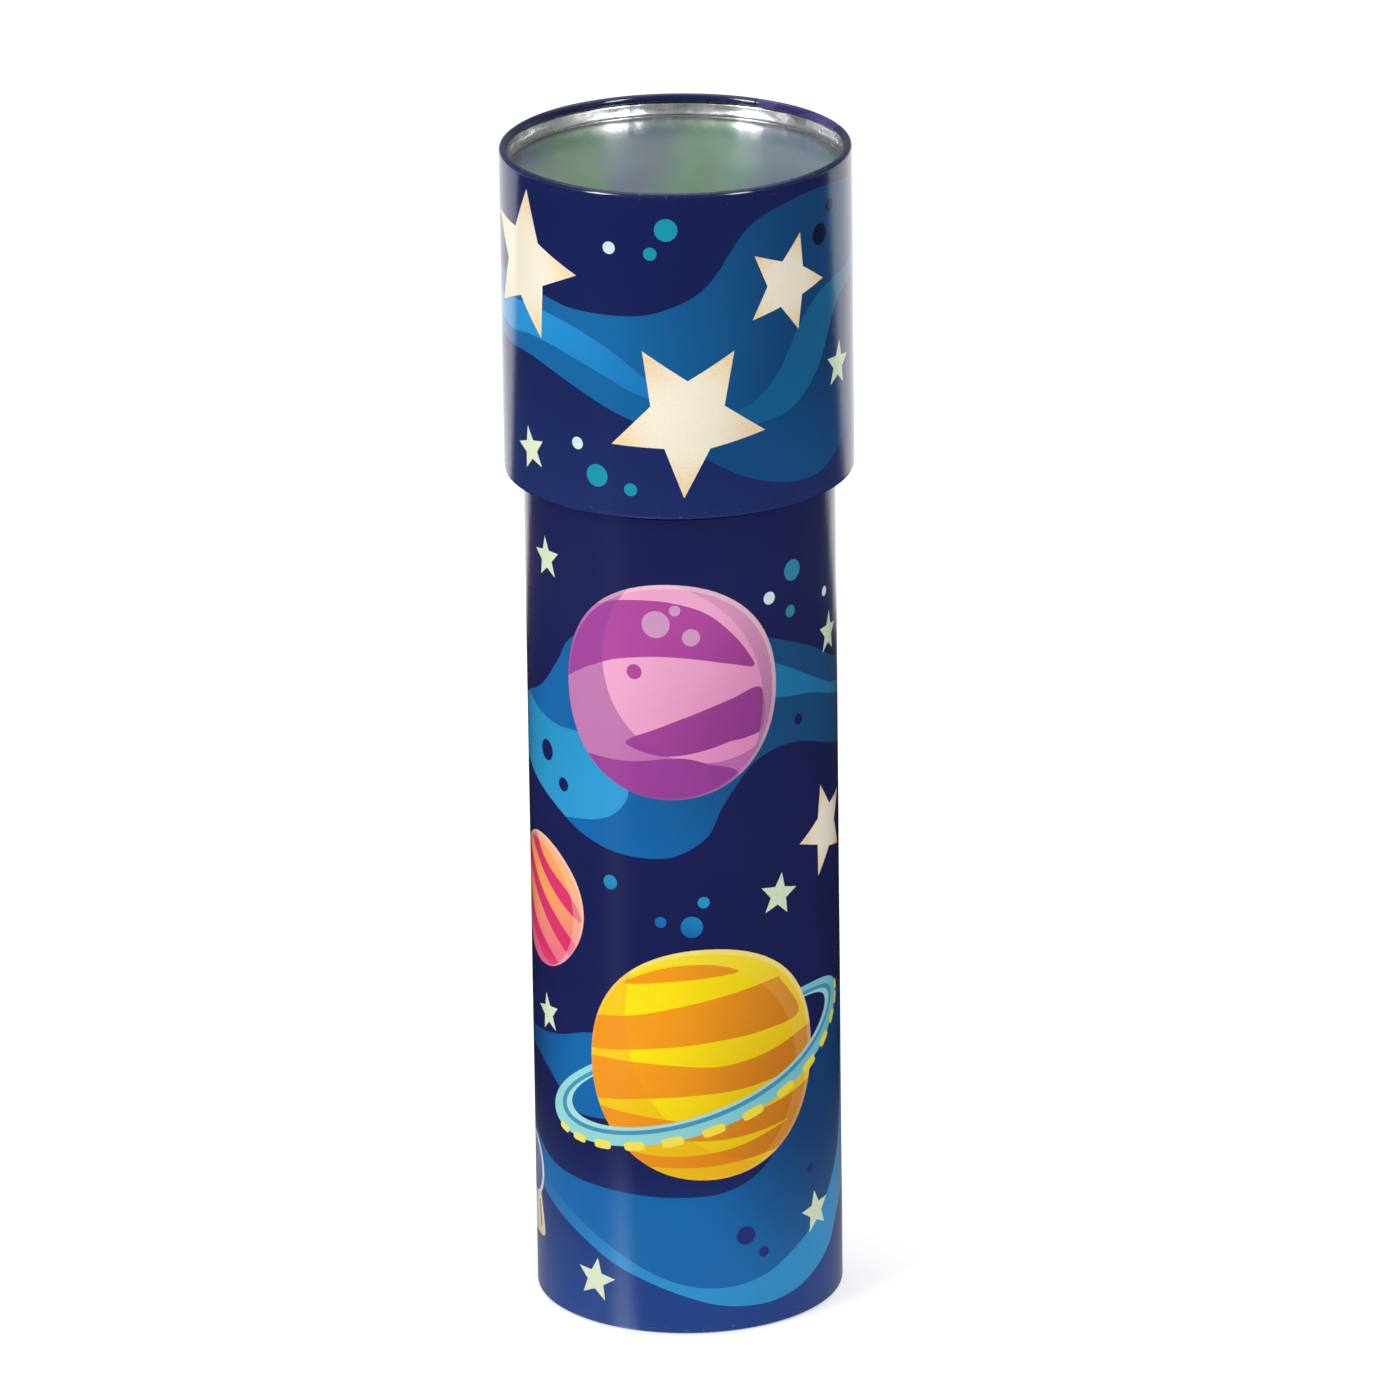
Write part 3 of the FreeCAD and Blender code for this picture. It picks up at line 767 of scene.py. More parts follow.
def draw_tube():
    art = Art(Ink(NAVY, NAVY_FOOT, ((0, 34), (0, 3))))
    behind_pink = art.blob(Ink(BLUE, BLUE_DARK, ((-20, 88), (14, 108))), [
        (-6, 127), (-19.4, 119.7), (-23.2, 114.7), (-26.8, 110.4), (-30.6, 107.7), (-36, 105.4), (-44, 100),
        (-40, 95), (-33.6, 92.8), (-25, 89.4), (-18.3, 86), (-11.6, 83.9), (-4.9, 83.4), (-0.5, 84.3),
        (3.9, 87.3), (6.5, 92.4), (10.6, 97.8), (13.4, 99.8), (17.3, 100.8), (22.7, 100.2), (35, 96.1),
        (47, 94), (60, 98), (69, 108), (57, 111), (45, 109), (34, 111.4), (24, 116.3), (14.4, 120.1),
    ])
    art.blob(Ink(SKY, "#2d9bd4", ((-32, 96), (-14, 88))), [
        (-50, 104), (-36, 105.6), (-30, 104.4), (-24, 103.3), (-16, 103), (-10, 98), (-9.2, 94.6),
        (-10.1, 92.3), (-12.4, 90.1), (-15.9, 88.8), (-20, 88.2), (-28, 87), (-42, 88),
    ], inside=(behind_pink,))
    art.blob(Ink("#1677aa"), [
        (12, 117), (16.3, 115.2), (20, 113.4), (25, 110.7), (34, 106.9), (46, 106), (58, 110), (66, 106),
        (46, 102.5), (34, 105), (25, 107.9), (19.9, 108.8), (16.2, 109.3), (11, 109.6),
    ], inside=(behind_pink,))
    add_dots(art, [(-27, 98, 1.8), (-22.4, 93.3, 1.2), (21.1, 104.4, 0.95), (44, 103, 1.3)], Ink(NAVY))

    foot = art.blob(Ink(BLUE, "#12437a", ((3, 14), (25, 33))), [
        (-52, 34), (-42, 31), (-34, 28.3), (-28, 26), (-22.4, 25.1), (-14, 24.5), (-7, 24.2), (-0.6, 24.2),
        (6, 24.8), (12, 27.5), (17, 33), (22, 40), (30, 51), (39, 54), (47, 44), (45, 27), (37, 18),
        (32.8, 14.5), (28.5, 9.6), (21.4, 5.8), (15.3, 4.3), (10.2, 4.2), (4.9, 4.9), (-0.8, 6.7),
        (-7.2, 9.1), (-13.4, 11.6), (-19.8, 14.9), (-25.9, 17.6), (-33, 20.4), (-44, 24), (-53, 28),
    ])
    edge = art.outline(smooth([
        (-56, 30), (-44, 26), (-31.9, 22.4), (-24.7, 19.8), (-18.9, 17), (-13.4, 14.2), (-7.9, 11.3),
        (-2.7, 9.2), (2.4, 8.1), (8.2, 8.1), (13.9, 9.6), (18.7, 12.2), (23.6, 15.3), (28.7, 19.7),
        (34, 27), (36, 40), (30, 62), (-56, 60),
    ]))
    art.lay(Ink("#2a93cf", "#1a70b2", ((0, 8), (-30, 20))), (foot,), (edge,))
    art.blob(Ink(OCEAN, BLUE, ((-36, 46), (-20, 40))), [
        (-46, 47), (-36, 47.2), (-30, 48), (-23.9, 49.3), (-17, 51.4), (-8, 52), (-6, 44), (-10, 38),
        (-18, 36.5), (-22.5, 37.5), (-25.3, 40), (-29.2, 42.3), (-34.4, 43.7), (-46, 43),
    ])
    add_capsule(art, (-37.0, 22.2), 5.7)
    add_dots(art, [(9.5, 16.7, 1.65), (12.7, 13.3, 0.95), (23.0, 25.3, 0.85)], Ink("#202a78"))

    add_dots(art, [(20, 130.3, 1.8), (19.5, 123.4, 1.05)], Ink("#2b87a6"))
    add_dots(art, [(15.1, 126.6, 1.1), (29.3, 124, 0.85)], Ink(PALE))
    add_dots(art, [(-12.7, 78.5, 1.25)], Ink("#1a86b4", SKY, ((-12.9, 77.2), (-12.9, 80))))
    add_dots(art, [(1, 71.6, 1.85), (-4.1, 72.4, 0.95), (3, 75.8, 1.0)], Ink(BLUE, SKY, ((0, 69), (3, 76))))
    add_small_stars(art, [
        (-26.2, 131.3, 3.7, 96), (31, 116.4, 3.7, 84), (16.4, 75.2, 3.8, 80), (-28.2, 51.7, 3.5, 100),
        (-16.8, 7.9, 3.9, 82), (24.5, 17.3, 3.8, 97), (52, 86, 3.6, 92), (-55, 92, 3.4, 85),
        (60, 20, 3.8, 99), (-68, 30, 3.6, 88), (-46, 134, 3.4, 94), (58, 132, 3.7, 83),
    ])
    add_star(art, (29.3, 83.3), 8.2, 106, (-1, 6, -2, 0, 0))

    add_planet(
        art, (-2.2, 112.1), 18.45,
        Ink("#f0a9cd", "#e08bbb", ((-10, 118), (12, 98))),
        Ink("#b3489f", "#92398a", ((-12, 118), (10, 98))),
        [
            [
                (-1.15, 0.00), (-0.76, 0.17), (-0.48, 0.28), (-0.13, 0.33), (0.21, 0.31), (0.55, 0.24),
                (0.77, 0.19), (0.72, 0.32), (0.55, 0.54), (0.31, 0.74), (-0.02, 0.84), (-0.37, 0.84),
                (-0.62, 0.78), (-1.0, 0.60),
            ],
            [
                (-0.40, -0.48), (-0.07, -0.32), (0.20, -0.21), (0.54, -0.09), (0.84, -0.02), (0.86, -0.38),
                (0.70, -0.46), (0.54, -0.48), (0.33, -0.54), (0.06, -0.59), (-0.16, -0.58),
            ],
            [
                (-1.10, -0.60), (-0.80, -0.64), (-0.39, -0.66), (0.06, -0.61), (0.33, -0.67), (0.62, -0.80),
                (0.40, -1.20), (-0.60, -1.20),
            ],
        ],
        Ink("#96409a", cover=0.58),
        # the crescent is printed, but its fade to a darker pink towards the lower right is painted shade,
        # where the light falls off across the tube
        crescent=Ink("#cf8cb5", "#9c7096", ((4, 124), (16, 104)), cover=0.72), rim=0.3,
        lit=(0.34, 0.29, 0.955), core=(-0.33, -0.13, 1.19),
        craters=[(-0.11, 0.63, 0.125), (0.20, 0.51, 0.08), (0.06, 0.76, 0.05)],
        spots=[(-0.31, 0.18, 0.07)],
    )
    add_planet(
        art, (-29.5, 71.4), 11.2,
        Ink("#fba45c", "#f2708f", ((-30, 74), (-28, 60))),
        Ink("#e0306a"),
        [
            [(-1.1, 0.62), (-0.4, 0.56), (0.4, 0.68), (0.8, 0.52), (0.0, 0.38), (-1.1, 0.36)],
            [(-1.2, 0.10), (-0.2, 0.10), (1.1, 0.16), (1.1, -0.06), (0.0, -0.14), (-1.2, -0.12)],
            [(-1.1, -0.44), (0.0, -0.50), (0.9, -0.40), (0.5, -0.72), (-0.6, -0.74)],
        ],
        Ink("#e2508a", cover=0.35), tilt=-40,
    )
    add_ringed_planet(art)

    add_planet(
        art, (58, 56), 13.5,
        Ink("#63d0b4", "#2fae9c", ((54, 64), (62, 44))),
        Ink("#248f8f"),
        [
            [(-1.1, 0.58), (-0.2, 0.66), (0.7, 0.56), (0.2, 0.40), (-1.1, 0.30)],
            [(-1.2, 0.05), (0.0, 0.12), (1.1, 0.02), (0.9, -0.18), (0.0, -0.10), (-1.2, -0.22)],
            [(-0.9, -0.62), (0.2, -0.54), (0.9, -0.60), (0.4, -0.86), (-0.5, -0.88)],
        ],
        Ink("#15687a", cover=0.40), tilt=-14, craters=[(0.2, 0.3, 0.09), (0.38, -0.32, 0.12)],
    )
    moon = art.outline(circle((-60, 112), 10.5, points=56))
    bite = art.outline(circle((-55.6, 114.4), 8.6, points=48))
    art.lay(Ink(CREAM, PEACH, ((-66, 118), (-58, 102)), grain=0.5), (moon,), (bite,))
    art.blob(Ink(BLUE, SKY, ((-82, 52), (-46, 60))), [
        (-82, 52), (-70, 46), (-58, 47), (-47, 55), (-46, 62), (-56, 55), (-68, 54), (-80, 60),
    ])
    add_star(art, (-48, 64.5), 6.6, 66)
    add_dots(art, [(-66, 84, 2.0), (-61, 80, 1.1), (46, 124, 1.2), (70, 76, 1.6), (66, 80, 0.9)], Ink(TEAL))
    add_dots(art, [(-70, 132, 1.2), (44, 74, 1.0), (-72, 14, 1.3)], Ink(PALE))
    return art


def draw_cap():
    art = Art(Ink(DEEP, NAVY_LIGHT, ((0, CAP_TOP - 20), (0, CAP_BOTTOM))))
    ribbon = art.blob(Ink("#0e66a3", "#0b4577", ((-16, 172), (24, 176))), [
        (-56, 184), (-44, 179), (-34, 178.6), (-24.7, 177.8), (-18.6, 176.8), (-11.3, 176.6), (-5.9, 176.9),
        (-1.5, 178.1), (3, 180.3), (6.2, 183.4), (8.9, 187.4), (11.6, 190.7), (15.2, 192.8), (19.9, 194),
        (26, 194.6), (36, 193.5), (48, 190), (52, 180), (47, 166), (41, 155), (35.7, 151.3), (29.9, 148.3),
        (25.8, 146.8), (21.1, 146.6), (16.2, 147.4), (10.5, 149.3), (5.2, 152.2), (-0.5, 155.4),
        (-4.9, 158), (-11.5, 160.8), (-16.5, 163.1), (-22.2, 165.4), (-28.3, 166.9), (-36, 167.1),
        (-48, 169), (-58, 176),
    ])
    art.blob(Ink("#1f93d2", "#1878bb", ((-30, 172), (-4, 162))), [
        (-50, 172.5), (-36, 174.6), (-30, 175.2), (-23.8, 175), (-20.3, 174.4), (-16.3, 173.2),
        (-11.3, 170.8), (-7.4, 168), (-3.9, 165.2), (2, 161), (-4.2, 162.9), (-7.4, 163.9), (-11.4, 165.9),
        (-16.4, 168), (-22.1, 169.7), (-28.2, 170.3), (-36, 169.7),
    ], inside=(ribbon,))
    art.blob(Ink("#0c6197", "#0e6590", ((14, 156), (36, 180))), [
        (2, 158), (10.6, 160.8), (14.1, 162.8), (17.2, 165.9), (19.2, 169.2), (21.4, 172.7), (24.2, 175.7),
        (28.5, 177.9), (36, 179), (48, 180), (56, 170), (54, 154), (40, 146), (20, 146), (8, 152), (0, 155),
    ], inside=(ribbon,))
    art.blob(Ink("#0b4c84", "#0a3767", ((18, 150), (34, 168))), [
        (19.5, 159.1), (23, 161.6), (26.1, 164.9), (28.4, 168.9), (29.9, 171.8), (32.2, 174.5), (36, 175.9),
        (50, 177), (60, 160), (46, 144), (28, 142), (12, 146), (-2, 152), (-2, 157), (6, 157), (14.8, 158),
    ], inside=(ribbon,))
    add_dots(art, [(26.6, 186.8, 1.8), (29.6, 190.9, 1.1)], Ink("#10143a"))
    add_dots(art, [(-11.1, 187.9, 1.05), (-17.4, 154.2, 1.05)], Ink(PALE))
    add_dots(art, [
        (-1.7, 191.3, 1.9), (-4.3, 187.3, 1.1), (-13.8, 149.3, 1.9), (-8, 147.5, 1.1),
    ], Ink(TEAL))
    add_star(art, (-29.7, 182), 12.6, 80, (4, 0, 0, -4, -6))
    add_star(art, (19.1, 180.3), 8.4, 69, (2, -3, 4, 0, -4))
    add_star(art, (1.4, 159.7), 13.4, 53, (1.5, -2.5, 3.5, -2, 5.5))
    add_small_stars(art, [
        (-28.3, 150.8, 3.8, 104), (32.2, 163.4, 4.0, 82), (-52, 152, 3.6, 84), (60, 158, 3.9, 95),
        (-74, 186, 3.7, 99),
    ])
    add_planet(
        art, (66, 189), 15.0,
        Ink("#55448f", "#4a3a86", ((60, 194), (70, 176))),
        Ink("#3c2f78"),
        [
            [(-1.1, 0.52), (-0.3, 0.62), (0.5, 0.66), (0.2, 0.44), (-1.1, 0.26)],
            [(-1.2, -0.08), (0.0, 0.02), (1.1, 0.10), (1.0, -0.22), (0.0, -0.26), (-1.2, -0.30)],
            [(-0.9, -0.66), (0.1, -0.60), (0.9, -0.52), (0.4, -0.90), (-0.5, -0.92)],
        ],
        Ink("#3b2a78", cover=0.40), crescent=Ink("#43357f", cover=0.6), rim=0.1,
        tilt=12, craters=[(-0.3, -0.35, 0.12), (-0.1, 0.24, 0.09)],
    )
    art.blob(Ink(OCEAN, BLUE, ((-104, 160), (-60, 160))), [
        (-105, 158), (-92, 164), (-80, 161), (-68, 153), (-58, 156), (-64, 163), (-76, 170), (-90, 173),
        (-106, 168),
    ])
    add_star(art, (-82, 166), 9.0, 96)
    add_dots(art, [(-60, 168, 1.8), (-66, 174, 1.1), (54, 150, 1.4), (-96, 184, 1.9)], Ink(TEAL))
    add_dots(art, [(-92, 150, 1.2), (48, 165, 1.0)], Ink(PALE))
    return art


# ================================================================ printed tin shells


class Section:
    """The printed side of a formed tin wall, walked like a turtle's path in (radius, height). Distance along
    it is counted so that it equals the height on the straight wall."""

    def __init__(self, radius, height, first_distance):
        self.here = Vector((radius, height))
        self.heading = 0.0
        self.distance = first_distance
        self.pieces = []

    def line(self, length):
        self.add(length, 0.0)

    def arc(self, radius, angle):
        """An arc that bends left for a positive angle."""
        self.add(radius * math.radians(abs(angle)), math.radians(angle))

    def turn(self, angle):
        self.heading += math.radians(angle)

    def add(self, length, bend):
        self.pieces.append((self.distance, length, bend, self.here.copy(), self.heading))
        self.here, self.heading = self.walk(self.pieces[-1], length)
        self.distance += length

    @staticmethod
    def walk(piece, along):
        _, length, bend, here, heading = piece
        if bend == 0:
            return here + Vector((math.cos(heading), math.sin(heading))) * along, heading
        radius = length / bend
        turned = bend * along / length
        centre = here + Vector((-math.sin(heading), math.cos(heading))) * radius
        return centre + Matrix.Rotation(turned, 2) @ (here - centre), heading + turned

    def piece_at(self, distance):
        for number, (start, length, *_) in enumerate(self.pieces):
            if distance <= start + length + SAME:
                return number
        return len(self.pieces) - 1

    def at(self, distance, number):
        """Point and outward normal at a distance, on one piece of the path."""
        piece = self.pieces[number]
        point, heading = self.walk(piece, distance - piece[0])
        return point, Vector((math.sin(heading), -math.cos(heading)))

    def rows(self, flat_step, bend_step):
        """Distances at which the sheet is divided, close together on the bends."""
        marks = [self.pieces[0][0]]
        for start, length, bend, _, _ in self.pieces:
            size = length / flat_step if bend == 0 else math.degrees(abs(bend)) / bend_step
            steps = math.ceil(size)
            marks += [start + length * index / steps for index in range(1, steps + 1)]
        return marks


class Shell:
    """Collects the faces of one closed shell, each with the normals and inks of its corners."""

    BARE = (Vector((0.5, 0.5, 0.5)), 0.0, 0.0)

    def __init__(self):
        self.points = []
        self.faces = []
        self.normals = []
        self.slots = []
        self.marks = []

    def point(self, where):
        self.points.append(where * MM)
        return len(self.points) - 1

    def face(self, corners, wanted, normals=None, slot=1, marks=None):
        """Adds a face that looks along wanted. marks are colour, grain and rub per corner."""
        a, b, c = (self.points[index] for index in corners[:3])
        flat = (b - a).cross(c - a).normalized()
        order = list(range(len(corners)))
        if flat.dot(wanted) < 0:
            order.reverse()
            flat = -flat
        self.faces.append([corners[index] for index in order])
        self.slots.append(slot)
        for index in order:
            self.normals.append(normals[index] if normals else flat)
            self.marks.append(marks[index] if marks else self.BARE)

    def zip(self, first, second, wanted_at, slot=1, mark=None):
        """Fills the gap between two rows of (place along the row, point number), both in rising order."""
        i = j = 0
        while i < len(first) - 1 or j < len(second) - 1:
            if j == len(second) - 1 or (i < len(first) - 1 and first[i + 1][0] <= second[j + 1][0]):
                corners = [first[i], first[i + 1], second[j]]
                i += 1
            else:
                corners = [first[i], second[j + 1], second[j]]
                j += 1
            wanted = wanted_at(sum(place for place, _ in corners) / 3)
            marks = [mark] * 3 if mark else None
            self.face([number for _, number in corners], wanted, slot=slot, marks=marks)

    def build(self, name, materials):
        mesh = bpy.data.meshes.new(name)
        mesh.from_pydata(self.points, [], self.faces)
        for material in materials:
            mesh.materials.append(material)
        mesh.polygons.foreach_set("material_index", self.slots)
        mesh.polygons.foreach_set("use_smooth", [True] * len(self.faces))
        ink = mesh.color_attributes.new("ink", "FLOAT_COLOR", "CORNER")
        marks = mesh.color_attributes.new("marks", "FLOAT_COLOR", "CORNER")
        for index, (colour, grain, rub) in enumerate(self.marks):
            ink.data[index].color = (*colour, 1.0)
            marks.data[index].color = (grain, rub, 0.0, 1.0)
        mesh.normals_split_custom_set(self.normals)
        return link_object(name, mesh)


# columns of the printed side and of the bare side, and the longest step along the section: on the straight
# in mm, and on a bend in degrees
COLUMNS = 144
INNER_COLUMNS = 96
FLAT_STEP = 2.0
BEND_STEP = 15.0
# the folded side seam, which dies away over FOLD_RAMP across it and over FOLD_END at its ends
FOLD_WIDTH = 3.0
FOLD_HEIGHT = 0.26
FOLD_RAMP = 0.5
FOLD_END = 2.0
SEAM_GAP = 0.28
SEAM_DEPTH = 0.16
SEAM_RUB = 0.4
# the waves in the tin start from nothing at the sheet's low edge
WAVE_LENGTH = 13
WAVE_STRETCH = 0.6
WAVE_START = 12.0
# how far the rubbing reaches to each side of its line
RUB_REACH = 1.3
# distances nearer to each other than this count as the same
SAME = 1e-4


class PrintedShell:
    """A formed tin wall with its picture. The flat sheet is cut into faces along the picture's outlines, so
    that each ink has a true edge. It is then rolled and bent along its section. A folded seam closes it."""

    def __init__(self, section, wall_radius, seam_angle, fold_span, waviness, rubbed):
        self.section = section
        self.wall_radius = wall_radius
        self.turn = 2 * math.pi * wall_radius
        self.seam = math.radians(seam_angle) * wall_radius + FOLD_WIDTH / 2
        self.fold_span = fold_span
        self.waviness = waviness
        self.rubbed = rubbed
        self.rows = section.rows(FLAT_STEP, BEND_STEP)
        self.left = self.seam - self.turn + SEAM_GAP / 2
        self.right = self.seam - SEAM_GAP / 2
        self.shell = Shell()

    def lift(self, u, distance):
        """How far the sheet stands off its true section: the seam's fold and the waviness of the tin."""
        low, high = self.fold_span
        in_fold = ease((u - (self.seam - FOLD_WIDTH)) / FOLD_RAMP)
        along = ease((distance - low) / FOLD_END) * ease((high - distance) / FOLD_END)
        angle = u / self.wall_radius
        way = Vector((math.sin(angle), -math.cos(angle), 0)) * self.wall_radius
        spot = Vector((way.x, way.y, distance * WAVE_STRETCH)) / WAVE_LENGTH
        wave = noise.noise(spot) * self.waviness * ease((distance - self.rows[0]) / WAVE_START)
        return FOLD_HEIGHT * in_fold * along + wave

    def spot(self, u, distance, piece, lift=0.0):
        (radius, height), (out, up) = self.section.at(distance, piece)
        angle = u / self.wall_radius
        radius += out * lift
        return Vector((math.sin(angle) * radius, -math.cos(angle) * radius, height + up * lift))

    def sheet_spot(self, u, distance, piece):
        return self.spot(u, distance, piece, self.lift(u, distance))

    def normal(self, u, distance, piece):
        step = 0.02
        across = self.sheet_spot(u + step, distance, piece) - self.sheet_spot(u - step, distance, piece)
        up = self.sheet_spot(u, distance + step, piece) - self.sheet_spot(u, distance - step, piece)
        return across.cross(up).normalized()

    def true_normal(self, u, distance, piece):
        _, (out, up) = self.section.at(distance, piece)
        angle = u / self.wall_radius
        return Vector((math.sin(angle) * out, -math.cos(angle) * out, up))

    def rub(self, distance):
        """How rubbed the print is: 1 on a rubbed line, and 0 beyond RUB_REACH from it."""
        return max(ease(1 - abs(distance - line) / RUB_REACH) for line in self.rubbed)

    def cut_sheet(self, art):
        """The flat sheet, cut along the columns, the rows and the picture's outlines."""
        low, high = self.rows[0], self.rows[-1]
        columns = [self.left + (self.right - self.left) * index / COLUMNS for index in range(COLUMNS + 1)]
        columns += [self.seam - FOLD_WIDTH + FOLD_RAMP * share for share in (0, 0.25, 0.5, 0.75, 1)]
        corners, edges, loops = [], [], []
        for u in columns:
            edges.append((len(corners), len(corners) + 1))
            corners += [Vector((u, low)), Vector((u, high))]
        for distance in self.rows:
            edges.append((len(corners), len(corners) + 1))
            corners += [Vector((self.left, distance)), Vector((self.right, distance))]
        for outline in art.outlines:
            loops.append(list(range(len(corners), len(corners) + len(outline))))
            corners += [Vector(point) for point in outline]
        flat, _, faces, _, _, owners = delaunay_2d_cdt(corners, edges, loops, 0, 1e-5, True)
        return flat, faces, owners

    def add_print(self, art):
        """Adds the printed side, and returns the points on each edge of the sheet."""
        flat, faces, owners = self.cut_sheet(art)
        low, high = self.rows[0], self.rows[-1]
        numbers, normals = {}, {}
        ends = {"low": [], "high": [], "left": [], "right": []}
        for face, owner in zip(faces, owners):
            points = [flat[index] for index in face]
            middle = sum(points, Vector((0, 0))) / 3
            if not (self.left < middle.x < self.right and low < middle.y < high):
                continue
            piece = self.section.piece_at(middle.y)
            for index in face:
                u, distance = flat[index]
                if (index, piece) not in normals:
                    normals[index, piece] = self.normal(u, distance, piece)
                if index in numbers:
                    continue
                numbers[index] = self.shell.point(self.sheet_spot(u, distance, piece))
                for key, gap, place in (
                    ("low", distance - low, u), ("high", distance - high, u),
                    ("left", u - self.left, distance), ("right", u - self.right, distance),
                ):
                    if abs(gap) < SAME:
                        ends[key].append((place, numbers[index]))
            wanted = sum((normals[index, piece] for index in face), Vector())
            inks = art.inks(frozenset(owner), points)
            marks = [(*ink, self.rub(point.y)) for ink, point in zip(inks, points)]
            corners = [numbers[index] for index in face]
            self.shell.face(corners, wanted, [normals[index, piece] for index in face], 0, marks)
        return {key: sorted(end) for key, end in ends.items()}

    def add_inside(self):
        """Adds the bare side, one ring of points per row, and returns the rings."""
        rings = []
        us = [self.seam - self.turn * (1 - (index + 0.5) / INNER_COLUMNS) for index in range(INNER_COLUMNS)]
        for distance in self.rows:
            piece = self.section.piece_at(distance)
            rings.append([(u, self.shell.point(self.spot(u, distance, piece, -GAUGE))) for u in us])
        for row in range(len(rings) - 1):
            piece = self.section.piece_at((self.rows[row] + self.rows[row + 1]) / 2)
            for index in range(INNER_COLUMNS):
                following = (index + 1) % INNER_COLUMNS
                quad = [(row, index), (row, following), (row + 1, following), (row + 1, index)]
                normals = [-self.true_normal(rings[at][spot][0], self.rows[at], piece) for at, spot in quad]
                corners = [rings[at][spot][1] for at, spot in quad]
                self.shell.face(corners, normals[0] + normals[2], normals)
        return rings

    def add_seam(self, ends, ground):
        """The shallow groove between the sheet's two edges. Returns its line of points."""
        groove = []
        for distance in self.rows:
            piece = self.section.piece_at(distance)
            groove.append((distance, self.shell.point(self.spot(self.seam, distance, piece, -SEAM_DEPTH))))

        def outward(distance):
            return self.true_normal(self.seam, distance, self.section.piece_at(distance))

        mark = (Vector(linear(ground)), 0.0, SEAM_RUB)
        self.shell.zip(ends["left"], groove, outward, slot=0, mark=mark)
        self.shell.zip(groove, ends["right"], outward, slot=0, mark=mark)
        return groove

    def add_cut_edges(self, ends, rings, groove):
        """Joins the printed side to the bare side along the two cut edges."""
        for key, mark, sign in (("low", 0, -1), ("high", -1, 1)):
            distance = self.rows[mark]
            piece = self.section.piece_at(distance)
            seam_point = groove[mark][1]
            out_row = [(self.seam - self.turn, seam_point)] + ends[key] + [(self.seam, seam_point)]
            ring = rings[mark]
            in_row = [(ring[-1][0] - self.turn, ring[-1][1])] + ring

            def along(u):
                _, (out, up) = self.section.at(distance, piece)
                angle = u / self.wall_radius
                return Vector((-math.sin(angle) * up, math.cos(angle) * up, out)) * sign

            self.shell.zip(out_row, in_row, along)

    def build(self, name, art, materials, ground):
        ends = self.add_print(art)
        rings = self.add_inside()
        groove = self.add_seam(ends, ground)
        self.add_cut_edges(ends, rings, groove)
        return self.shell.build(name, materials)


def tube_section():
    """Base flange, bend, wall, the groove that carries the cap, wall, and the outward curl."""
    flange, bend, curl = 1.5, 0.6, 0.95
    groove_radius, groove_depth = 1.22, 0.7
    groove_level = CAP_BOTTOM + GAUGE / 2
    groove_angle = math.acos((groove_radius - groove_depth) / groove_radius)
    groove_half = groove_radius * math.sin(groove_angle)
    section = Section(TUBE_RADIUS - bend - flange, 0.0, bend - flange - bend * math.pi / 2)
    section.line(flange)
    section.arc(bend, 90)
    section.line(groove_level - groove_half - bend)
    section.turn(math.degrees(groove_angle))
    section.arc(groove_radius, -2 * math.degrees(groove_angle))
    section.turn(math.degrees(groove_angle))
    section.line(TUBE_TOP - curl - GAUGE - groove_level - groove_half)
    section.arc(curl, -300)
    return section


def cap_section():
    """Hem, bend, wall, and the inward curl round the open top."""
    hem_radius, bend, curl = 25.1, 0.9, 0.7
    hem = CAP_RADIUS - bend - hem_radius
    section = Section(hem_radius, CAP_BOTTOM, CAP_BOTTOM + bend - hem - bend * math.pi / 2)
    section.line(hem)
    section.arc(bend, 90)
    section.line(CAP_TOP - curl - CAP_BOTTOM - bend)
    section.arc(curl, 285)
    return section


def make_shells(print_material, tin_material):
    materials = [print_material, tin_material]
    maker = PrintedShell(
        tube_section(), TUBE_RADIUS, seam_angle=170.0, fold_span=(8, 139), waviness=0.03, rubbed=(0.2,),
    )
    tube = maker.build("printed_tube", draw_tube(), materials, NAVY)
    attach(tube, "tube")
    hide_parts("body_tube")
    maker = PrintedShell(
        cap_section(), CAP_RADIUS, seam_angle=148.0, fold_span=(145.5, 191), waviness=0.045,
        rubbed=(CAP_BOTTOM + 0.2, CAP_TOP + 0.2),
    )
    cap = maker.build("printed_cap", draw_cap(), materials, NAVY)
    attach(cap, "cap")
    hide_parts("cap_shell")


# ================================================================ the bright band inside the rim


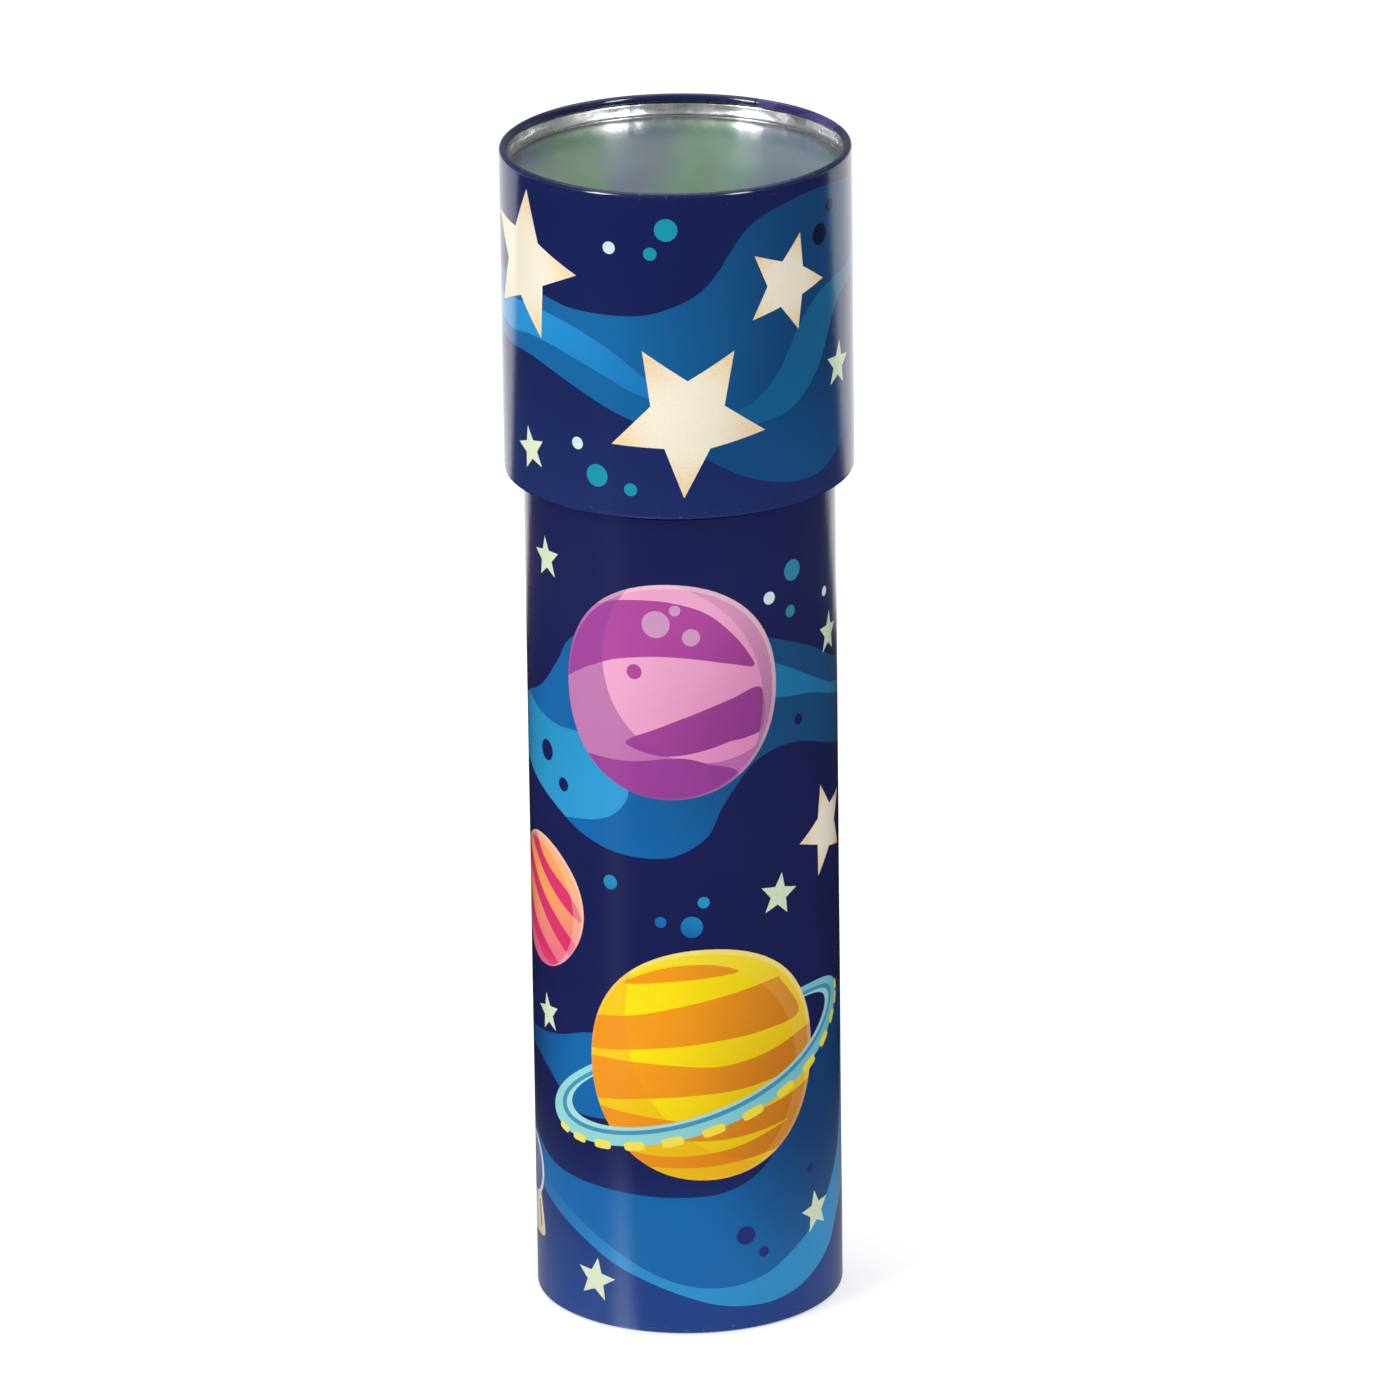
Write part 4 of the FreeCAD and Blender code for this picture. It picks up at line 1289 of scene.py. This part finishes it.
def make_window_band(tin_material):
    """The thin tin strip that holds the frosted window in. Its foot lies on the window, and its face leans
    back to the cap's wall. It is a little crumpled, and its ends overlap at the back."""
    low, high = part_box("window_retainer")
    outer = high.x / MM
    height = (high.z - low.z) / MM
    columns, gauge = 360, 0.08
    crumple, crumples_per_radian = 0.17, 9
    lap, lap_angle, lap_half = 0.10, 174, 1.6
    # how far inward and how high the strip's back is, from the foot's edge to the top
    back = [(0.92, 0.0), (0.62, 0.03), (0.34, 0.24), (0.14, 0.66), (0.03, 1.2), (0.0, 1.7)]
    back.append((0.0, height - gauge))
    points = []
    for side, line in (("front", back), ("back", back[::-1])):
        for inward, rise in line:
            for column in range(columns):
                angle = 2 * math.pi * column / columns
                way = Vector((math.sin(angle), -math.cos(angle), 0))
                depth, level = inward, rise
                if side == "front":
                    spot = way * crumples_per_radian + Vector((0, 0, rise))
                    folds = max(0.0, noise.noise(spot) + 0.5 * noise.noise(spot * 2.3) + 0.45)
                    share = math.sin(math.pi * min(1.0, (rise + 0.3) / (height + 0.3)))
                    end = ease(1 - abs(math.degrees(angle) - lap_angle) / lap_half)
                    depth += gauge + share * (crumple * folds + lap * end)
                    level += gauge
                points.append((way * (outer - depth) + Vector((0, 0, low.z / MM + level))) * MM)
    faces = ring_faces(len(back) * 2, columns, closed=True)
    mesh = bpy.data.meshes.new("window_band")
    mesh.from_pydata(points, [], faces)
    mesh.polygons.foreach_set("use_smooth", [True] * len(faces))
    mesh.materials.append(tin_material)
    work = bmesh.new()
    work.from_mesh(mesh)
    bmesh.ops.recalc_face_normals(work, faces=work.faces)
    work.to_mesh(mesh)
    work.free()
    band = link_object("window_band", mesh)
    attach(band, "cap")
    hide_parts("window_retainer")


# ================================================================ carried-over CAD pieces


def paint_cad_pieces(finishes):
    """Gives each CAD node the finish of its material slot in the record."""
    for subpart in frame["record"]["subparts"]:
        finish = finishes.get(subpart["material_slot"])
        if finish is None:
            continue
        piece = frame["nodes"][subpart["node"]]
        for holder in piece.material_slots:
            holder.material = finish
        # light gets into the cell through the windows
        piece.visible_shadow = subpart["material_slot"] not in ("clear_plastic", "frosted_plastic")


make_camera()
sparkles = make_lights()
make_floor()
make_reflection_card()
PRINT = printed_tin()
TIN = bare_tin()
make_shells(PRINT, TIN)
make_window_band(TIN)
FINISHES = {
    "bare_tin": TIN,
    "clear_plastic": clear_plastic(),
    "frosted_plastic": frosted_plastic(),
    "grey_card": paperboard("grey_card", (0.20, 0.19, 0.17), (0.36, 0.34, 0.31), 0.25),
    "black_card": paperboard("black_card", (0.012, 0.012, 0.013), (0.035, 0.034, 0.034), 0.25),
    "mirror_strip": mirror_strip(),
    "spring_wire": spring_wire(),
    "white_plastic": white_plastic(),
    "bit_green": coloured_plastic("bit_green", "#4fdc55", "#14a83a"),
    "bit_blue": coloured_plastic("bit_blue", "#3670ec", "#1238b4"),
    "bit_teal": coloured_plastic("bit_teal", "#37c9b0", "#0f8f8a"),
    "bit_violet": coloured_plastic("bit_violet", "#9a62d6", "#5a2ca0"),
    "bit_amber": coloured_plastic("bit_amber", "#ffc23f", "#e08a12"),
}
paint_cad_pieces(FINISHES)
light_only(sparkles, [bpy.data.objects[name] for name in ("printed_cap", "printed_tube", "window_band")])
